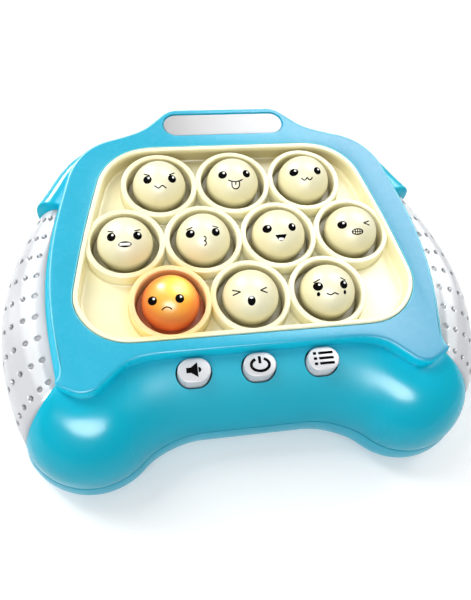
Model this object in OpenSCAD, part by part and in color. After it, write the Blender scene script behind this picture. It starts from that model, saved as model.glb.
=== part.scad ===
/* [Bubbles] */
// Distance between the centres of neighbouring bubbles
bubble_pitch = 27; // [26.7:0.1:28]
// Diameter of a bubble's ball
bubble_d = 19.2; // [17.6:0.2:20]
// Height of a bubble's top above the rims of the rings
bubble_rise = 7.6; // [6.6:0.2:8.4]
// Wall of a bubble's hollow ball
bubble_wall = 1.4; // [1:0.1:2]
// How far a bubble is pressed
bubble_travel = 4; // [2.5:0.25:4.5]
// Width of the lip that holds a bubble under the tray
lip_w = 1.2; // [0.9:0.1:1.4]
// Thickness of that lip
lip_t = 1.2; // [0.9:0.1:1.6]
// Height of the rubber dome under a pressed bubble
key_dome_shut = 2; // [1.5:0.25:3]
// Wall of a rubber dome
key_dome_wall = 0.9; // [0.7:0.1:1.2]

/* [Tray] */
// Bore of a ring
ring_bore = 23.4; // [23:0.1:23.8]
// Wall of a ring
ring_wall = 2; // [1.9:0.05:2.3]
// Depth of the tray's floor below the rims of the rings
ring_h = 5.5; // [4.5:0.25:6]
// Thickness of the tray's floor
tray_floor = 1.6; // [1.2:0.1:2]
// Width of the tray's border
tray_border = 1.7; // [1.4:0.1:2]
// Height of the border above the face
tray_proud = 0.4; // [0.2:0.1:0.8]
// Width of the flange under the face
tray_flange = 1.7; // [1.2:0.1:1.9]
// Diameter of the posts between the tray and the board
post_d = 6; // [5:0.25:7]

/* [Window] */
// Gap from the outer rings to the front of the window
window_front_gap = 0.2; // [0.2:0.1:1]
// Gap from the outer rings to the rear of the window
window_rear_gap = 2.9; // [2:0.1:4]
// Gap from the middle row's end rings to the sides of the window
window_side_gap = 4.6; // [4:0.1:6]
// Gap from the rear row's end rings to the sides of the window
window_shoulder_gap = 9.3; // [8:0.1:10]
// Radius of the window's front corners
window_front_r = 18.8; // [16:0.2:20]
// Radius of the window's rear corners
window_rear_r = 20; // [17:0.2:21]
// How far the window's sides bow out
window_bow = 0.6; // [0.2:0.1:1]

/* [Face] */
// Width of the face in front of the window
face_front_border = 4.5; // [4.3:0.1:5.5]
// Depth of the face behind the window
face_rear_border = 18.1; // [17:0.1:20]
// Height of the raised face above its foot
face_step = 5.5; // [4.5:0.25:6.5]
// Depth of the rings' rims below the face
rim_drop = 0.5; // [0.3:0.1:1.5]
// Radius of the face's edge
face_edge = 0.8; // [0.4:0.1:1.2]
// Width of the straight part of the wavy front edge
wave_w = 82; // [78:1:84]
// Diameter of the wave's tip over a lobe
wave_tip_d = 15.6; // [14:0.2:17]
// Distance from the face's front edge to the centre of that tip
wave_tip_run = 2.9; // [2:0.1:3.5]
// How far the face's sides bow out
face_bow = 4.7; // [3.5:0.1:5.5]
// Radius of the face's shoulders
face_shoulder_r = 22.6; // [21.5:0.1:23.5]
// Width of the bump behind the window
bump_w = 41.6; // [39:0.2:44]
// Height of the bump behind the shoulders
bump_h = 9.5; // [8.5:0.25:10.5]
// How far the bump's flanks flare
bump_flare = 10.2; // [9:0.2:11]

/* [Body] */
// Height of the lower shell, from the table to the parting line
lower_h = 14; // [13:0.25:18]
// Height of the flank, from the parting line to the foot of the face
flank_h = 24; // [22:0.25:28]
// Wall of both shells
wall = 2.2; // [1.8:0.1:2.4]
// Width of the straight front between the lobes
valley_w = 48; // [42:1:52]
// Distance from the face's front edge to the front between the lobes
valley_run = 19.5; // [18:0.1:22]
// Diameter of a lobe
lobe_d = 47.2; // [44:0.2:50]
// Distance from the face's front edge to the lobes' centres
lobe_run = 10.8; // [10:0.1:13]
// Distance from the window's side to a lobe's centre
lobe_inset = 3; // [2.5:0.1:5]
// How far the body's sides bow out
body_bow = 3; // [2:0.1:4]
// Distance of the shoulders' centre outside the window's corner
shoulder_out = 7.7; // [7:0.1:8.5]
// Distance of the shoulders' centre behind the window's corner
shoulder_back = 2.8; // [2:0.1:3.5]
// Width of the sloping shoulder outside the face
shoulder_run = 5.4; // [4.5:0.1:6.5]
// Distance from the face's rear edge to the back of the body
rear_run = 3.4; // [2.5:0.1:5]
// How far the rounded bottom edge draws in
base_round = 6; // [4:0.25:9]
// How far the lower shell swells below the parting line
lower_swell = 2; // [0:0.1:2.5]

/* [Grips] */
// Greatest bulge of a grip outside the body's flank
grip_bulge = 10.3; // [8:0.1:12]
// Bulge of a grip where it meets the lobe
grip_front_bulge = 0.4; // [0:0.1:1.5]
// Bulge of a grip where it leaves the sleeve
grip_rear_bulge = 4.6; // [3:0.1:5]
// How far the shoulder swells out behind a grip
shoulder_swell = 3; // [2:0.1:4]
// How far the sleeve's lip flares beyond that
lip_flare = 3.1; // [2:0.1:4.5]
// Rise of the sleeve's arch for each millimetre that it swells
sleeve_rise = 0.6; // [0.3:0.05:0.8]
// Depth of the seat in the flank
grip_seat = 2; // [1.6:0.1:2.2]
// Wall of a grip
grip_wall = 2.2; // [1.8:0.1:2.8]
// Diameter of the pegs that hold a grip
peg_d = 4; // [3:0.25:5]
// Length of a peg inside the flank
peg_l = 2; // [1:0.25:3]

/* [Buttons] */
// Distance between the buttons
button_pitch = 21.5; // [20:0.25:23]
// Width of a button
button_w = 10.8; // [9:0.1:11.4]
// Depth of a button
button_l = 8.2; // [7:0.1:8.4]
// Distance from the face's front edge to the buttons' middle
button_run = 5; // [4.8:0.1:6]
// Depth of the buttons' tops below the rims of the rings
button_drop = 3; // [2:0.1:3.4]
// How far a button is pressed
button_travel = 1; // [0.6:0.1:1.2]
// Height of the rubber dome under a pressed button
button_dome_shut = 0.6; // [0.5:0.1:1.2]
// Diameter of the rubber dome under a button
button_dome_d = 6; // [5:0.25:7]
// Thickness of a button's flange
button_flange_t = 1; // [0.8:0.1:1.2]
// Width of a button's flange
button_flange_w = 0.9; // [0.7:0.1:1.2]
// Width of the step round a button's top
button_edge = 0.35; // [0.2:0.05:0.5]
// Depth of that step
button_edge_h = 0.7; // [0.4:0.1:1]

/* [Name plate] */
// Length of the name plate
plate_w = 46.4; // [42:0.2:47]
// Height of the name plate
plate_l = 10; // [9:0.2:10.4]
// Thickness of the name plate
plate_t = 0.9; // [0.7:0.05:1]
// Depth of its recess
plate_recess = 1.2; // [1.1:0.05:1.3]
// Distance from the window to the middle of the name plate
plate_run = 10.55; // [10:0.05:11]

/* [Inside] */
// Thickness of the main board
board_t = 1.6; // [1:0.1:2]
// Diameter of a lamp
lamp_d = 5; // [3:0.25:5]
// Height of a lamp
lamp_h = 5; // [4:0.25:6]
// Diameter of the shell's posts that carry the board
board_post_d = 5; // [4.5:0.1:5.2]
// Diameter of the speaker
speaker_d = 36; // [30:1:40]
// Height of the speaker
speaker_h = 8; // [6:0.5:9]
// Thickness of the speaker's rim
speaker_rim = 1.2; // [0.8:0.1:2]
// Diameter of the speaker's magnet
magnet_d = 22; // [16:1:26]
// Distance of the speaker in front of the middle row
speaker_front = 30; // [29:0.5:31]
// Diameter of a hole in the speaker's grille
grille_d = 2.2; // [1.6:0.1:2.4]
// Distance between those holes
grille_pitch = 4.4; // [4:0.1:5]
// Diameter of a wire
wire_d = 1.2; // [0.8:0.1:1.6]

/* [Batteries] */
// Diameter of a battery
cell_d = 10.5; // [10.2:0.1:10.6]
// Length of a battery
cell_l = 44.5; // [44:0.1:45]
// Diameter of a battery's raised end
nub_d = 3.8; // [3.4:0.1:3.8]
// Length of that end
nub_l = 0.8; // [0.8:0.1:1.2]
// Length of the contact space at each end of the batteries
contact_l = 3; // [2.5:0.1:4]
// Thickness of a contact plate
contact_t = 0.5; // [0.3:0.1:0.8]
// Width of a contact plate
contact_w = 8.4; // [7:0.2:9.6]
// Diameter of a spring where it leaves its plate
spring_d = 5.8; // [5:0.1:6.6]
// Diameter of a spring where it meets the battery
spring_tip_d = 4; // [3:0.1:4.6]
// Wall of the battery box
box_wall = 1.6; // [1.2:0.1:2]
// Distance of the battery box behind the middle row
box_back = 14; // [13:0.5:16]
// Thickness of the battery door
door_t = 1.8; // [1.4:0.1:2]
// Width of the ledge that the door seats on
door_ledge = 1.6; // [1.2:0.1:2]
// Width of the door's ear round its screw
ear_wall = 2; // [1.6:0.1:2.6]

/* [Screws] */
// Diameter of a housing screw's shank
screw_d = 2.6; // [2.2:0.1:3]
// Diameter of a housing screw's head
screw_head_d = 5; // [4.4:0.1:5.4]
// Height of a housing screw's head
screw_head_h = 1.8; // [1.4:0.1:2.2]
// Length of a housing screw's shank
screw_l = 12; // [10:0.5:16]
// Diameter of a housing boss
boss_d = 7.2; // [6.6:0.1:7.6]
// Wall of the lower shell's bosses round a screw's head
boss_wall = 1.9; // [1.5:0.1:2.2]
// Thickness of such a boss over the screw's head
boss_roof = 3.2; // [2.4:0.1:4]
// Length of a board screw's shank
board_screw_l = 6; // [5:0.5:8]
// Diameter of a board screw's shank
board_screw_d = 2; // [1.6:0.1:2.2]
// Diameter of a board screw's head
board_head_d = 4; // [3.4:0.1:4.4]
// Height of a board screw's head
board_head_h = 1.6; // [1.2:0.1:2]

/* [Fits] */
// Running clearance of moving pieces
slide_gap = 0.35; // [0.3:0.05:0.5]
// Gap between fixed pieces
seat_gap = 0.2; // [0.1:0.05:0.3]
// Clearance round a screw in its hole
screw_gap = 0.1; // [0.05:0.05:0.2]

/* [Hidden] */
bubble_names = [for (k = [1:10]) str("bubble_", k)];
key_dome_names = [for (k = [1:10]) str("key_dome_", k)];
$fn = 48;
blue = "#2FB6DC";
teal = "#14A9CC";
cream = "#FBF4C8";
white = "#EEF0F2";
grey = "#D5D8DA";
eps = 0.01;

// Heights above the table
foot_z = lower_h + flank_h;
face_z = foot_z + face_step;
face_under_z = face_z - wall;
rim_z = face_z - rim_drop;
floor_z = rim_z - ring_h;
tray_under_z = floor_z - tray_floor;
lip_top_z = tray_under_z - slide_gap;
lip_z = lip_top_z - lip_t;
ball_z = rim_z + bubble_rise - bubble_d / 2;
button_top_z = rim_z - button_drop;

// The buttons' flanges lie under the sloping front
button_reach = button_run + button_l / 2 + button_flange_w;
button_flange_top = slope_z(button_reach) - slope_wall(button_reach) - 2 * slide_gap;
button_flange_z = button_flange_top - button_flange_t;

// The board lies low enough for both kinds of rubber dome, pressed and released
key_dome_h = bubble_travel + key_dome_shut;
button_dome_h = button_travel + button_dome_shut;
board_z = min(lip_z - key_dome_h, button_flange_z - button_dome_h) - seat_gap;
board_under_z = board_z - board_t;

// The bubbles lie in rows of three, four and three, packed as in a honeycomb
row_y = bubble_pitch * sin(60);
bubble_places = concat(
    [for (k = [-1:1]) [k * bubble_pitch, row_y]],
    [for (k = [-1.5:1:1.5]) [k * bubble_pitch, 0]],
    [for (k = [-1:1]) [k * bubble_pitch, -row_y]]
);
ring_r = ring_bore / 2 + ring_wall;
lip_r = ring_bore / 2 + lip_w;
post_x = bubble_pitch + lip_r + slide_gap + post_d / 2;

// Distances from the middle row of bubbles
window_front = row_y + ring_r + window_front_gap;
window_rear = row_y + ring_r + window_rear_gap;
window_half_w = 1.5 * bubble_pitch + ring_r + window_side_gap;
window_rear_half_w = bubble_pitch + ring_r + window_shoulder_gap;
window_corner = [window_rear_half_w - window_rear_r, window_rear - window_rear_r];
face_front = window_front + face_front_border;
face_rear = window_rear + face_rear_border;
valley_front = face_front + valley_run;
lobe_centre = [window_half_w - lobe_inset, -face_front - lobe_run];
shoulder_centre = window_corner + [shoulder_out, shoulder_back];
body_rear = face_rear + rear_run;

// Numbers of points on the stretches of an outline, and samples for each point
lobe_steps = 6;
flare_spans = 2;
swell_spans = 2;
side_steps = 6;
shoulder_steps = 4;
rear_steps = 5;
samples = 3;
lobe_first = 3;
lobe_last = lobe_first + lobe_steps;
shoulder_first = lobe_last + side_steps + 1;
shoulder_last = shoulder_first + shoulder_steps;
columns = 2 * (shoulder_last + rear_steps) * samples;

// Angles between which the arcs of an outline turn
window_turn = [275, 355];
wave_turn = [215, 350];
lobe_turn = [215, 340];
shoulder_turn = [5, 85];

function arc(centre, r, turn, steps) = [
    for (k = [0:steps])
        let (a = turn[0] + (turn[1] - turn[0]) * k / steps)
        centre + r * [cos(a), sin(a)]
];

function bowed(a, b, bow, steps) =
    [for (k = [1:steps]) let (t = k / (steps + 1)) a + (b - a) * t + [bow * sin(180 * t), 0]];

// Right half of an outline, from the middle of the front to the middle of the rear
function half_outline(front_w, front_y, lobe, bow, shoulder, rear) = concat(
    [for (k = [0:lobe_first - 1]) [front_w / 2 * k / (lobe_first - 1), -front_y]],
    lobe,
    bowed(lobe[lobe_steps], shoulder[0], bow, side_steps),
    shoulder,
    rear
);

function mirrored(half) = concat(
    half,
    [for (k = [len(half) - 2:-1:1]) [-half[k].x, half[k].y]]
);

// A quadratic spline that rounds the corners of a closed outline
function smoothed(p) = [
    for (k = [0:len(p) - 1], j = [0:samples - 1])
        let (
            a = p[(k + len(p) - 1) % len(p)],
            b = p[k],
            c = p[(k + 1) % len(p)],
            t = j / samples
        )
        ((1 - t) * (1 - t) * a + (1 + 2 * t - 2 * t * t) * b + t * t * c) / 2
];

function outward(p) = [
    for (k = [0:len(p) - 1])
        let (run = p[(k + 1) % len(p)] - p[(k + len(p) - 1) % len(p)])
        [run.y, -run.x] / norm(run)
];

function grown(p, d) = let (n = outward(p)) [for (k = [0:len(p) - 1]) p[k] + d * n[k]];

function at_z(p, z) = [for (q = p) [q.x, q.y, z]];

// Window in the face
window_lobe = arc(
    [window_half_w - window_front_r, -window_front + window_front_r],
    window_front_r, window_turn, lobe_steps
);
window_shoulder = arc(window_corner, window_rear_r, shoulder_turn, shoulder_steps);
window_line = smoothed(mirrored(half_outline(
    2 * (window_half_w - window_front_r) - window_front_r / 2,
    window_front,
    window_lobe,
    window_bow,
    window_shoulder,
    [for (k = [rear_steps - 1:-1:0]) [window_corner.x * k / rear_steps, window_rear]]
)));

// Raised face, with its wavy front edge and the bump behind the window
face_line = smoothed(mirrored(half_outline(
    wave_w,
    face_front,
    arc([lobe_centre.x, -face_front - wave_tip_run], wave_tip_d / 2, wave_turn, lobe_steps),
    face_bow,
    arc(shoulder_centre, face_shoulder_r, shoulder_turn, shoulder_steps),
    [
        [bump_w / 2 + bump_flare, face_rear - bump_h],
        [bump_w / 2 + bump_flare / 2, face_rear - bump_h / 2],
        [bump_w / 2, face_rear],
        [bump_w / 3, face_rear],
        [0, face_rear]
    ]
)));

// Body at the parting line
body_shoulder = arc(shoulder_centre, face_shoulder_r + shoulder_run, shoulder_turn, shoulder_steps);
body_shoulder_end = body_shoulder[shoulder_steps];
body_line = smoothed(mirrored(half_outline(
    valley_w,
    valley_front,
    arc(lobe_centre, lobe_d / 2, lobe_turn, lobe_steps),
    body_bow,
    body_shoulder,
    [
        for (k = [rear_steps - 1:-1:0])
            let (f = k / rear_steps)
            [body_shoulder_end.x * f, body_rear - (body_rear - body_shoulder_end.y) * f * f]
    ]
)));
body_out = outward(body_line);
body_depths = [for (q = body_line) q.y];
centre_y = (max(body_depths) + min(body_depths)) / 2;

// Columns of the flank that carry a grip, and those of the sleeve behind it
grip_from = lobe_last * samples;
grip_to = shoulder_first * samples;
flare_to = grip_to + flare_spans * samples;
swell_to = (shoulder_last + swell_spans) * samples;
flank_rows = 8;
inner_rows = 5;

// A column on the left side is named by its mirror on the right
function right_column(i) = i <= (columns + samples) / 2 ? i : columns + samples - i;

function on_seat(i) = let (c = right_column(i)) c > grip_from && c < grip_to;

// How far a column swells behind the grip: slowly fading over the shoulder, with a flare at the lip
function sleeve(i) =
    let (c = right_column(i))
    c >= grip_to && c <= swell_to
        ? shoulder_swell * cos(90 * (c - grip_to) / (swell_to - grip_to))
            + lip_flare * pow(max(0, (flare_to - c) / (flare_to - grip_to)), 2)
        : 0;

// A point of the flank: s runs from the foot of the face (0) to the parting line (1), and
// d moves it outward
function flank(i, s, d) =
    let (
        p = face_line[i] + (body_line[i] - face_line[i]) * sin(90 * s) + body_out[i] * d
    )
    [p.x, p.y, foot_z - flank_h * (1 - cos(90 * s))];

function flank_offset(i, s) =
    s <= 0 || s >= 1 ? 0 : on_seat(i) ? -grip_seat : sleeve(i) * sin(180 * s);

function flank_outer(i, s) =
    flank(i, s, flank_offset(i, s)) + [0, 0, sleeve_rise * sleeve(i) * sin(180 * s)];

function flank_inner(i, s) =
    let (q = flank_outer(i, s))
    q - wall * [body_out[i].x * sin(90 * s), body_out[i].y * sin(90 * s), cos(90 * s)];

// Height of the front slope above the table, at a distance in front of the face's edge
function slope_z(run) = foot_z - flank_h * (1 - sqrt(1 - pow(run / valley_run, 2)));

// Height of the sloping wall there, which is greater than its thickness
function slope_wall(run) =
    let (a = asin(run / valley_run))
    wall * sqrt(1 + pow(flank_h / valley_run * tan(a), 2));

// Faces between the rows of a loft, which all have n points
function strips(n, first, last) = [
    for (r = [first:last - 1], k = [0:n - 1])
        let (a = r * n + k, b = r * n + (k + 1) % n)
        each [[a, a + n, b], [b, a + n, b + n]]
];

// Closed band: the rows run once round its section, up the outside and down the inside
module band(rows) {
    n = len(rows[0]);
    m = len(rows);
    closing = [
        for (k = [0:n - 1])
            let (a = (m - 1) * n + k, b = (m - 1) * n + (k + 1) % n, c = (k + 1) % n)
            each [[a, k, b], [b, k, c]]
    ];
    polyhedron(points = [for (row = rows) each row], faces = concat(strips(n, 0, m - 1), closing));
}

// Cup: the rows run from its bottom over its rim to its inner floor, each end closed at a point
module cup(rows, bottom, inner_floor) {
    n = len(rows[0]);
    m = len(rows);
    low = m * n;
    high = low + 1;
    polyhedron(
        points = concat([for (row = rows) each row], [bottom, inner_floor]),
        faces = concat(
            strips(n, 0, m - 1),
            [for (k = [0:n - 1]) [k, (k + 1) % n, low]],
            [for (k = [0:n - 1]) [(m - 1) * n + (k + 1) % n, (m - 1) * n + k, high]]
        )
    );
}

// Patch: two grids of points, outer and inner, joined round their edges
module patch(outer, inner) {
    m = len(outer);
    n = len(outer[0]);
    back = m * n;
    border = concat(
        [for (k = [0:n - 2]) k],
        [for (r = [0:m - 2]) r * n + n - 1],
        [for (k = [n - 1:-1:1]) (m - 1) * n + k],
        [for (r = [m - 1:-1:1]) r * n]
    );
    grid = [
        for (r = [0:m - 2], k = [0:n - 2])
            let (a = r * n + k)
            each [[a, a + n, a + 1], [a + 1, a + n, a + n + 1]]
    ];
    rim = [
        for (k = [0:len(border) - 1])
            let (a = border[k], b = border[(k + 1) % len(border)])
            each [[a, b, a + back], [b, b + back, a + back]]
    ];
    polyhedron(
        points = concat([for (row = outer) each row], [for (row = inner) each row]),
        faces = concat(grid, [for (f = grid) [f[0] + back, f[2] + back, f[1] + back]], rim)
    );
}

// Block with round ends, lying along X
module oblong(w, l, h) {
    for (side = [-1, 1])
        translate([side * (w - l) / 2, 0, 0])
            cylinder(d = l, h = h);
    translate([-(w - l) / 2, -l / 2, 0])
        cube([w - l, l, h]);
}

// Screw with its head at the origin and its shank upward
module screw(d, l, head_d, head_h) {
    translate([0, 0, -head_h])
        cylinder(d = head_d, h = head_h);
    translate([0, 0, -eps])
        cylinder(d = d, h = l + eps);
}

// Pair of wires that rise to the board
module wires(spread, y, z) {
    for (side = [-1, 1])
        translate([side * spread, y, z])
            cylinder(d = wire_d, h = board_under_z - z);
}

// Places of the fasteners
boss_front_y = -face_front - wave_tip_run + wall / 2;
boss_rear_x = bump_w / 2 - boss_d / 2;
boss_places = [
    [-lobe_centre.x, boss_front_y],
    [lobe_centre.x, boss_front_y],
    [-boss_rear_x, face_rear - bump_h],
    [boss_rear_x, face_rear - bump_h]
];
board_post_side = window_half_w + tray_flange + board_post_d / 3;
board_post_front = -window_front + window_front_r;
board_post_rear = window_rear + tray_flange + board_post_d / 2 + wall / 2;
board_post_x = boss_rear_x + boss_d / 2 + boss_d;
board_post_places = [
    [-board_post_side, board_post_front],
    [board_post_side, board_post_front],
    [-board_post_x, board_post_rear],
    [board_post_x, board_post_rear]
];
hole_gap = 4 * screw_gap;
head_bore = screw_head_d + 2 * seat_gap;
counterbore_z = lower_h - boss_roof;

// Grips: t runs from the upper edge of a grip (0) to its lower edge (1)
grip_first = grip_from + 1;
grip_last = grip_to - 1;
grip_top_s = 0.13;
grip_low_s = 0.87;
grip_long_power = 0.7;
grip_round_power = 0.75;

function grip_along(c) = (c - grip_first) / (grip_last - grip_first);

function grip_s(t) = grip_top_s + (grip_low_s - grip_top_s) * t;

function grip_out(c, t) =
    let (end = grip_front_bulge + (grip_rear_bulge - grip_front_bulge) * grip_along(c))
    (end + (grip_bulge - end) * pow(sin(180 * grip_along(c)), grip_long_power))
        * pow(sin(180 * t), grip_round_power);

// A grip is hollow behind, with an end wall at its first and last column
function grip_in(c, t) =
    c == grip_first || c == grip_last
        ? seat_gap - grip_seat
        : max(seat_gap - grip_seat, grip_out(c, t) - grip_wall);

// Pegs of a grip, at mid height and a few columns from its ends
peg_steps = 5;
peg_columns = [grip_first + peg_steps, grip_last - peg_steps];
peg_tips = [for (c = peg_columns) flank(c, grip_s(0.5), grip_in(c, 0.5) + grip_wall / 2)];
peg_roots = [for (c = peg_columns) flank(c, grip_s(0.5), -grip_seat - wall - peg_l)];

// Buttons
button_y = -face_front - button_run;
button_places = [[-button_pitch, button_y], [0, button_y], [button_pitch, button_y]];

// Battery box
box_l = cell_l + 2 * contact_l;
box_w = 3 * cell_d + 4 * seat_gap;
box_z = door_t + seat_gap;
box_top_z = box_z + cell_d + seat_gap;
door_ear = board_head_d + 2 * ear_wall;
door_screw_y = box_back + box_w / 2 + box_wall + door_ear / 2;
door_sink = door_t / 2;
plate_y = window_rear + plate_run;

module upper_shell() {
    n = columns;
    edge_mid = (1 - sin(45)) * face_edge;
    rows = concat(
        [for (k = [flank_rows:-1:0]) [for (i = [0:n - 1]) flank_outer(i, k / flank_rows)]],
        [at_z(face_line, face_z - face_edge)],
        [at_z(grown(face_line, -edge_mid), face_z - edge_mid)],
        [at_z(grown(face_line, -face_edge), face_z)],
        [at_z(window_line, face_z)],
        [at_z(window_line, face_under_z)],
        [at_z(grown(face_line, -wall), face_under_z)],
        [at_z(grown(face_line, -wall), foot_z - wall)],
        [for (k = [1:inner_rows]) [for (i = [0:n - 1]) flank_inner(i, k / inner_rows)]]
    );
    color(blue)
        difference() {
            union() {
                band(rows);
                for (p = boss_places)
                    translate([p.x, p.y, lower_h])
                        cylinder(d = boss_d, h = face_under_z - lower_h + wall / 4);
                for (p = board_post_places)
                    translate([p.x, p.y, board_z])
                        cylinder(d = board_post_d, h = face_under_z - board_z + wall / 4);
            }
            for (p = boss_places)
                translate([p.x, p.y, lower_h - eps])
                    cylinder(d = screw_d + screw_gap, h = screw_l);
            for (p = board_post_places)
                translate([p.x, p.y, board_z - eps])
                    cylinder(d = board_screw_d + screw_gap, h = board_screw_l);
            for (p = button_places)
                translate([p.x, p.y, board_z])
                    oblong(button_w + 2 * slide_gap, button_l + 2 * slide_gap, face_z - board_z);
            translate([0, plate_y, face_z - plate_recess])
                oblong(plate_w + 2 * seat_gap, plate_l + 2 * seat_gap, wall);
            for (side = [-1, 1], k = [0, 1])
                translate([side * peg_roots[k].x, peg_tips[k].y, peg_tips[k].z])
                    rotate([0, side * 90, 0])
                        cylinder(d = peg_d + 2 * seat_gap, h = peg_tips[k].x - peg_roots[k].x);
        }
}

module lower_shell() {
    n = columns;
    base_rows = 6;
    function side(a) = lower_swell * sin(2 * a) - base_round * (1 - cos(a));
    outer = [
        for (k = [base_rows:-1:0])
            let (a = 90 * k / base_rows)
            at_z(grown(body_line, side(a)), lower_h * (1 - sin(a)))
    ];
    inner = [
        for (k = [0:base_rows - 1])
            let (a = 90 * k / (base_rows - 1))
            at_z(grown(body_line, side(a) - wall * cos(a)), lower_h * (1 - sin(a)) + wall * sin(a))
    ];
    middle = [0, centre_y, 0];
    color(teal)
        difference() {
            union() {
                cup(concat(outer, inner), middle, middle + [0, 0, wall]);
                for (p = boss_places)
                    translate([p.x, p.y, wall / 2])
                        cylinder(d = head_bore + 2 * boss_wall, h = lower_h - wall / 2);
                translate([-box_l / 2 - box_wall, box_back - box_w / 2 - box_wall, wall / 2])
                    cube([box_l + 2 * box_wall, box_w + 2 * box_wall, box_top_z + box_wall - wall / 2]);
                translate([0, door_screw_y, wall / 2])
                    cylinder(d = door_ear + 2 * box_wall, h = door_t + board_screw_l);
                translate([0, -speaker_front, wall / 2])
                    difference() {
                        cylinder(d = speaker_d + 2 * box_wall, h = wall / 2 + speaker_h / 2);
                        cylinder(d = speaker_d + 2 * seat_gap, h = wall / 2 + speaker_h);
                    }
            }
            for (p = boss_places) {
                translate([p.x, p.y, -eps])
                    cylinder(d = head_bore, h = counterbore_z + eps);
                translate([p.x, p.y, 0])
                    cylinder(d = screw_d + hole_gap, h = lower_h + wall);
            }
            translate([-box_l / 2, box_back - box_w / 2, -eps])
                cube([box_l, box_w, box_top_z]);
            door_outline(seat_gap, door_t + eps, -eps);
            translate([0, door_screw_y, 0])
                cylinder(d = board_screw_d + screw_gap, h = door_t + board_screw_l);
            grille();
        }
}

// Door plate, with an ear for its screw behind the box
module door_outline(gap, h, z) {
    translate([-box_l / 2 - door_ledge - gap, box_back - box_w / 2 - door_ledge - gap, z])
        cube([box_l + 2 * (door_ledge + gap), box_w + 2 * (door_ledge + gap), h]);
    translate([0, door_screw_y, z])
        cylinder(d = door_ear + 2 * gap, h = h);
    translate([-door_ear / 2 - gap, box_back + box_w / 2, z])
        cube([door_ear + 2 * gap, box_wall + door_ear / 2, h]);
}

// Hexagonal pattern of holes under the speaker
module grille() {
    rings = 3;
    for (a = [-rings:rings], b = [-rings:rings])
        if (abs(a + b) <= rings)
            translate([(a + b / 2) * grille_pitch, b * grille_pitch * sin(60) - speaker_front, -eps])
                cylinder(d = grille_d, h = wall + 2 * eps, $fn = 24);
}

module grip() {
    steps = 9;
    outer = [
        for (c = [grip_first:grip_last])
            [for (k = [0:steps]) let (t = k / steps) flank(c, grip_s(t), grip_out(c, t))]
    ];
    inner = [
        for (c = [grip_first:grip_last])
            [for (k = [0:steps]) let (t = k / steps) flank(c, grip_s(t), grip_in(c, t))]
    ];
    color(white)
        union() {
            patch(outer, inner);
            for (k = [0, 1])
                translate([peg_roots[k].x, peg_tips[k].y, peg_tips[k].z])
                    rotate([0, 90, 0])
                        cylinder(d = peg_d, h = peg_tips[k].x - peg_roots[k].x);
        }
}

module right_grip() {
    grip();
}

module left_grip() {
    mirror([1, 0, 0])
        grip();
}

module bubble_tray() {
    outline = grown(window_line, -seat_gap);
    color(cream)
        difference() {
            union() {
                difference() {
                    translate([0, 0, tray_under_z])
                        linear_extrude(face_z + tray_proud - tray_under_z)
                            polygon(outline);
                    translate([0, 0, floor_z])
                        linear_extrude(face_z)
                            polygon(grown(outline, -tray_border));
                }
                translate([0, 0, face_under_z - seat_gap - tray_floor])
                    linear_extrude(tray_floor)
                        difference() {
                            polygon(grown(window_line, tray_flange));
                            polygon(grown(outline, -tray_border / 2));
                        }
                intersection() {
                    translate([0, 0, tray_under_z])
                        linear_extrude(rim_z)
                            polygon(grown(outline, -tray_border / 2));
                    for (p = bubble_places)
                        translate([p.x, p.y, tray_under_z])
                            cylinder(r = ring_r, h = rim_z - tray_under_z);
                }
                for (side = [-1, 1], end = [-1, 1])
                    translate([side * post_x, end * row_y, board_z])
                        cylinder(d = post_d, h = floor_z - tray_floor / 2 - board_z);
            }
            for (p = bubble_places)
                translate([p.x, p.y, 0])
                    cylinder(d = ring_bore, h = 2 * face_z);
            for (p = board_post_places)
                translate([p.x, p.y, 0])
                    cylinder(d = board_post_d + 2 * slide_gap, h = face_z);
        }
}

module name_plate() {
    color(grey)
        translate([0, plate_y, face_z - plate_recess])
            oblong(plate_w, plate_l, plate_t);
}

module bubble(k) {
    p = bubble_places[k];
    skirt_r = ring_bore / 2 - slide_gap;
    hollow_r = bubble_d / 2 - bubble_wall;
    color(k == 7 ? "#EE6A33" : cream)
        translate([p.x, p.y, 0])
            difference() {
                union() {
                    translate([0, 0, ball_z])
                        sphere(d = bubble_d);
                    translate([0, 0, lip_top_z - lip_t / 2])
                        cylinder(r = skirt_r, h = floor_z - lip_top_z + lip_t / 2);
                    translate([0, 0, lip_z])
                        cylinder(r = lip_r, h = lip_t);
                }
                translate([0, 0, ball_z])
                    sphere(r = hollow_r);
                translate([0, 0, lip_z - eps])
                    cylinder(r = hollow_r - seat_gap, h = ball_z - lip_z);
                translate([0, 0, lip_z - bubble_d])
                    cylinder(r = bubble_d, h = bubble_d);
            }
}

// Rubber dome: a thin cone between the board and the piece that it pushes up
module rubber_dome(p, base_d, top_d, h) {
    color("#F4F2EA")
        translate([p.x, p.y, board_z])
            rotate_extrude()
                polygon([
                    [base_d / 2 - key_dome_wall, 0],
                    [base_d / 2, 0],
                    [top_d / 2, h],
                    [top_d / 2 - key_dome_wall, h]
                ]);
}

module key_dome(k) {
    rubber_dome(bubble_places[k], 2 * (lip_r - slide_gap), bubble_d, lip_z - seat_gap - board_z);
}

module button(k) {
    p = button_places[k];
    step_z = button_top_z - button_edge_h;
    color(grey)
        translate([p.x, p.y, 0]) {
            translate([0, 0, button_flange_z])
                oblong(button_w + 2 * button_flange_w, button_l + 2 * button_flange_w, button_flange_t);
            translate([0, 0, button_flange_top - eps])
                oblong(button_w, button_l, step_z - button_flange_top + eps);
            translate([0, 0, step_z - eps])
                oblong(button_w - 2 * button_edge, button_l - 2 * button_edge, button_edge_h + eps);
        }
}

module button_dome(k) {
    top_d = button_dome_d - 2 * key_dome_wall;
    rubber_dome(button_places[k], button_dome_d, top_d, button_flange_z - seat_gap - board_z);
}

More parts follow.
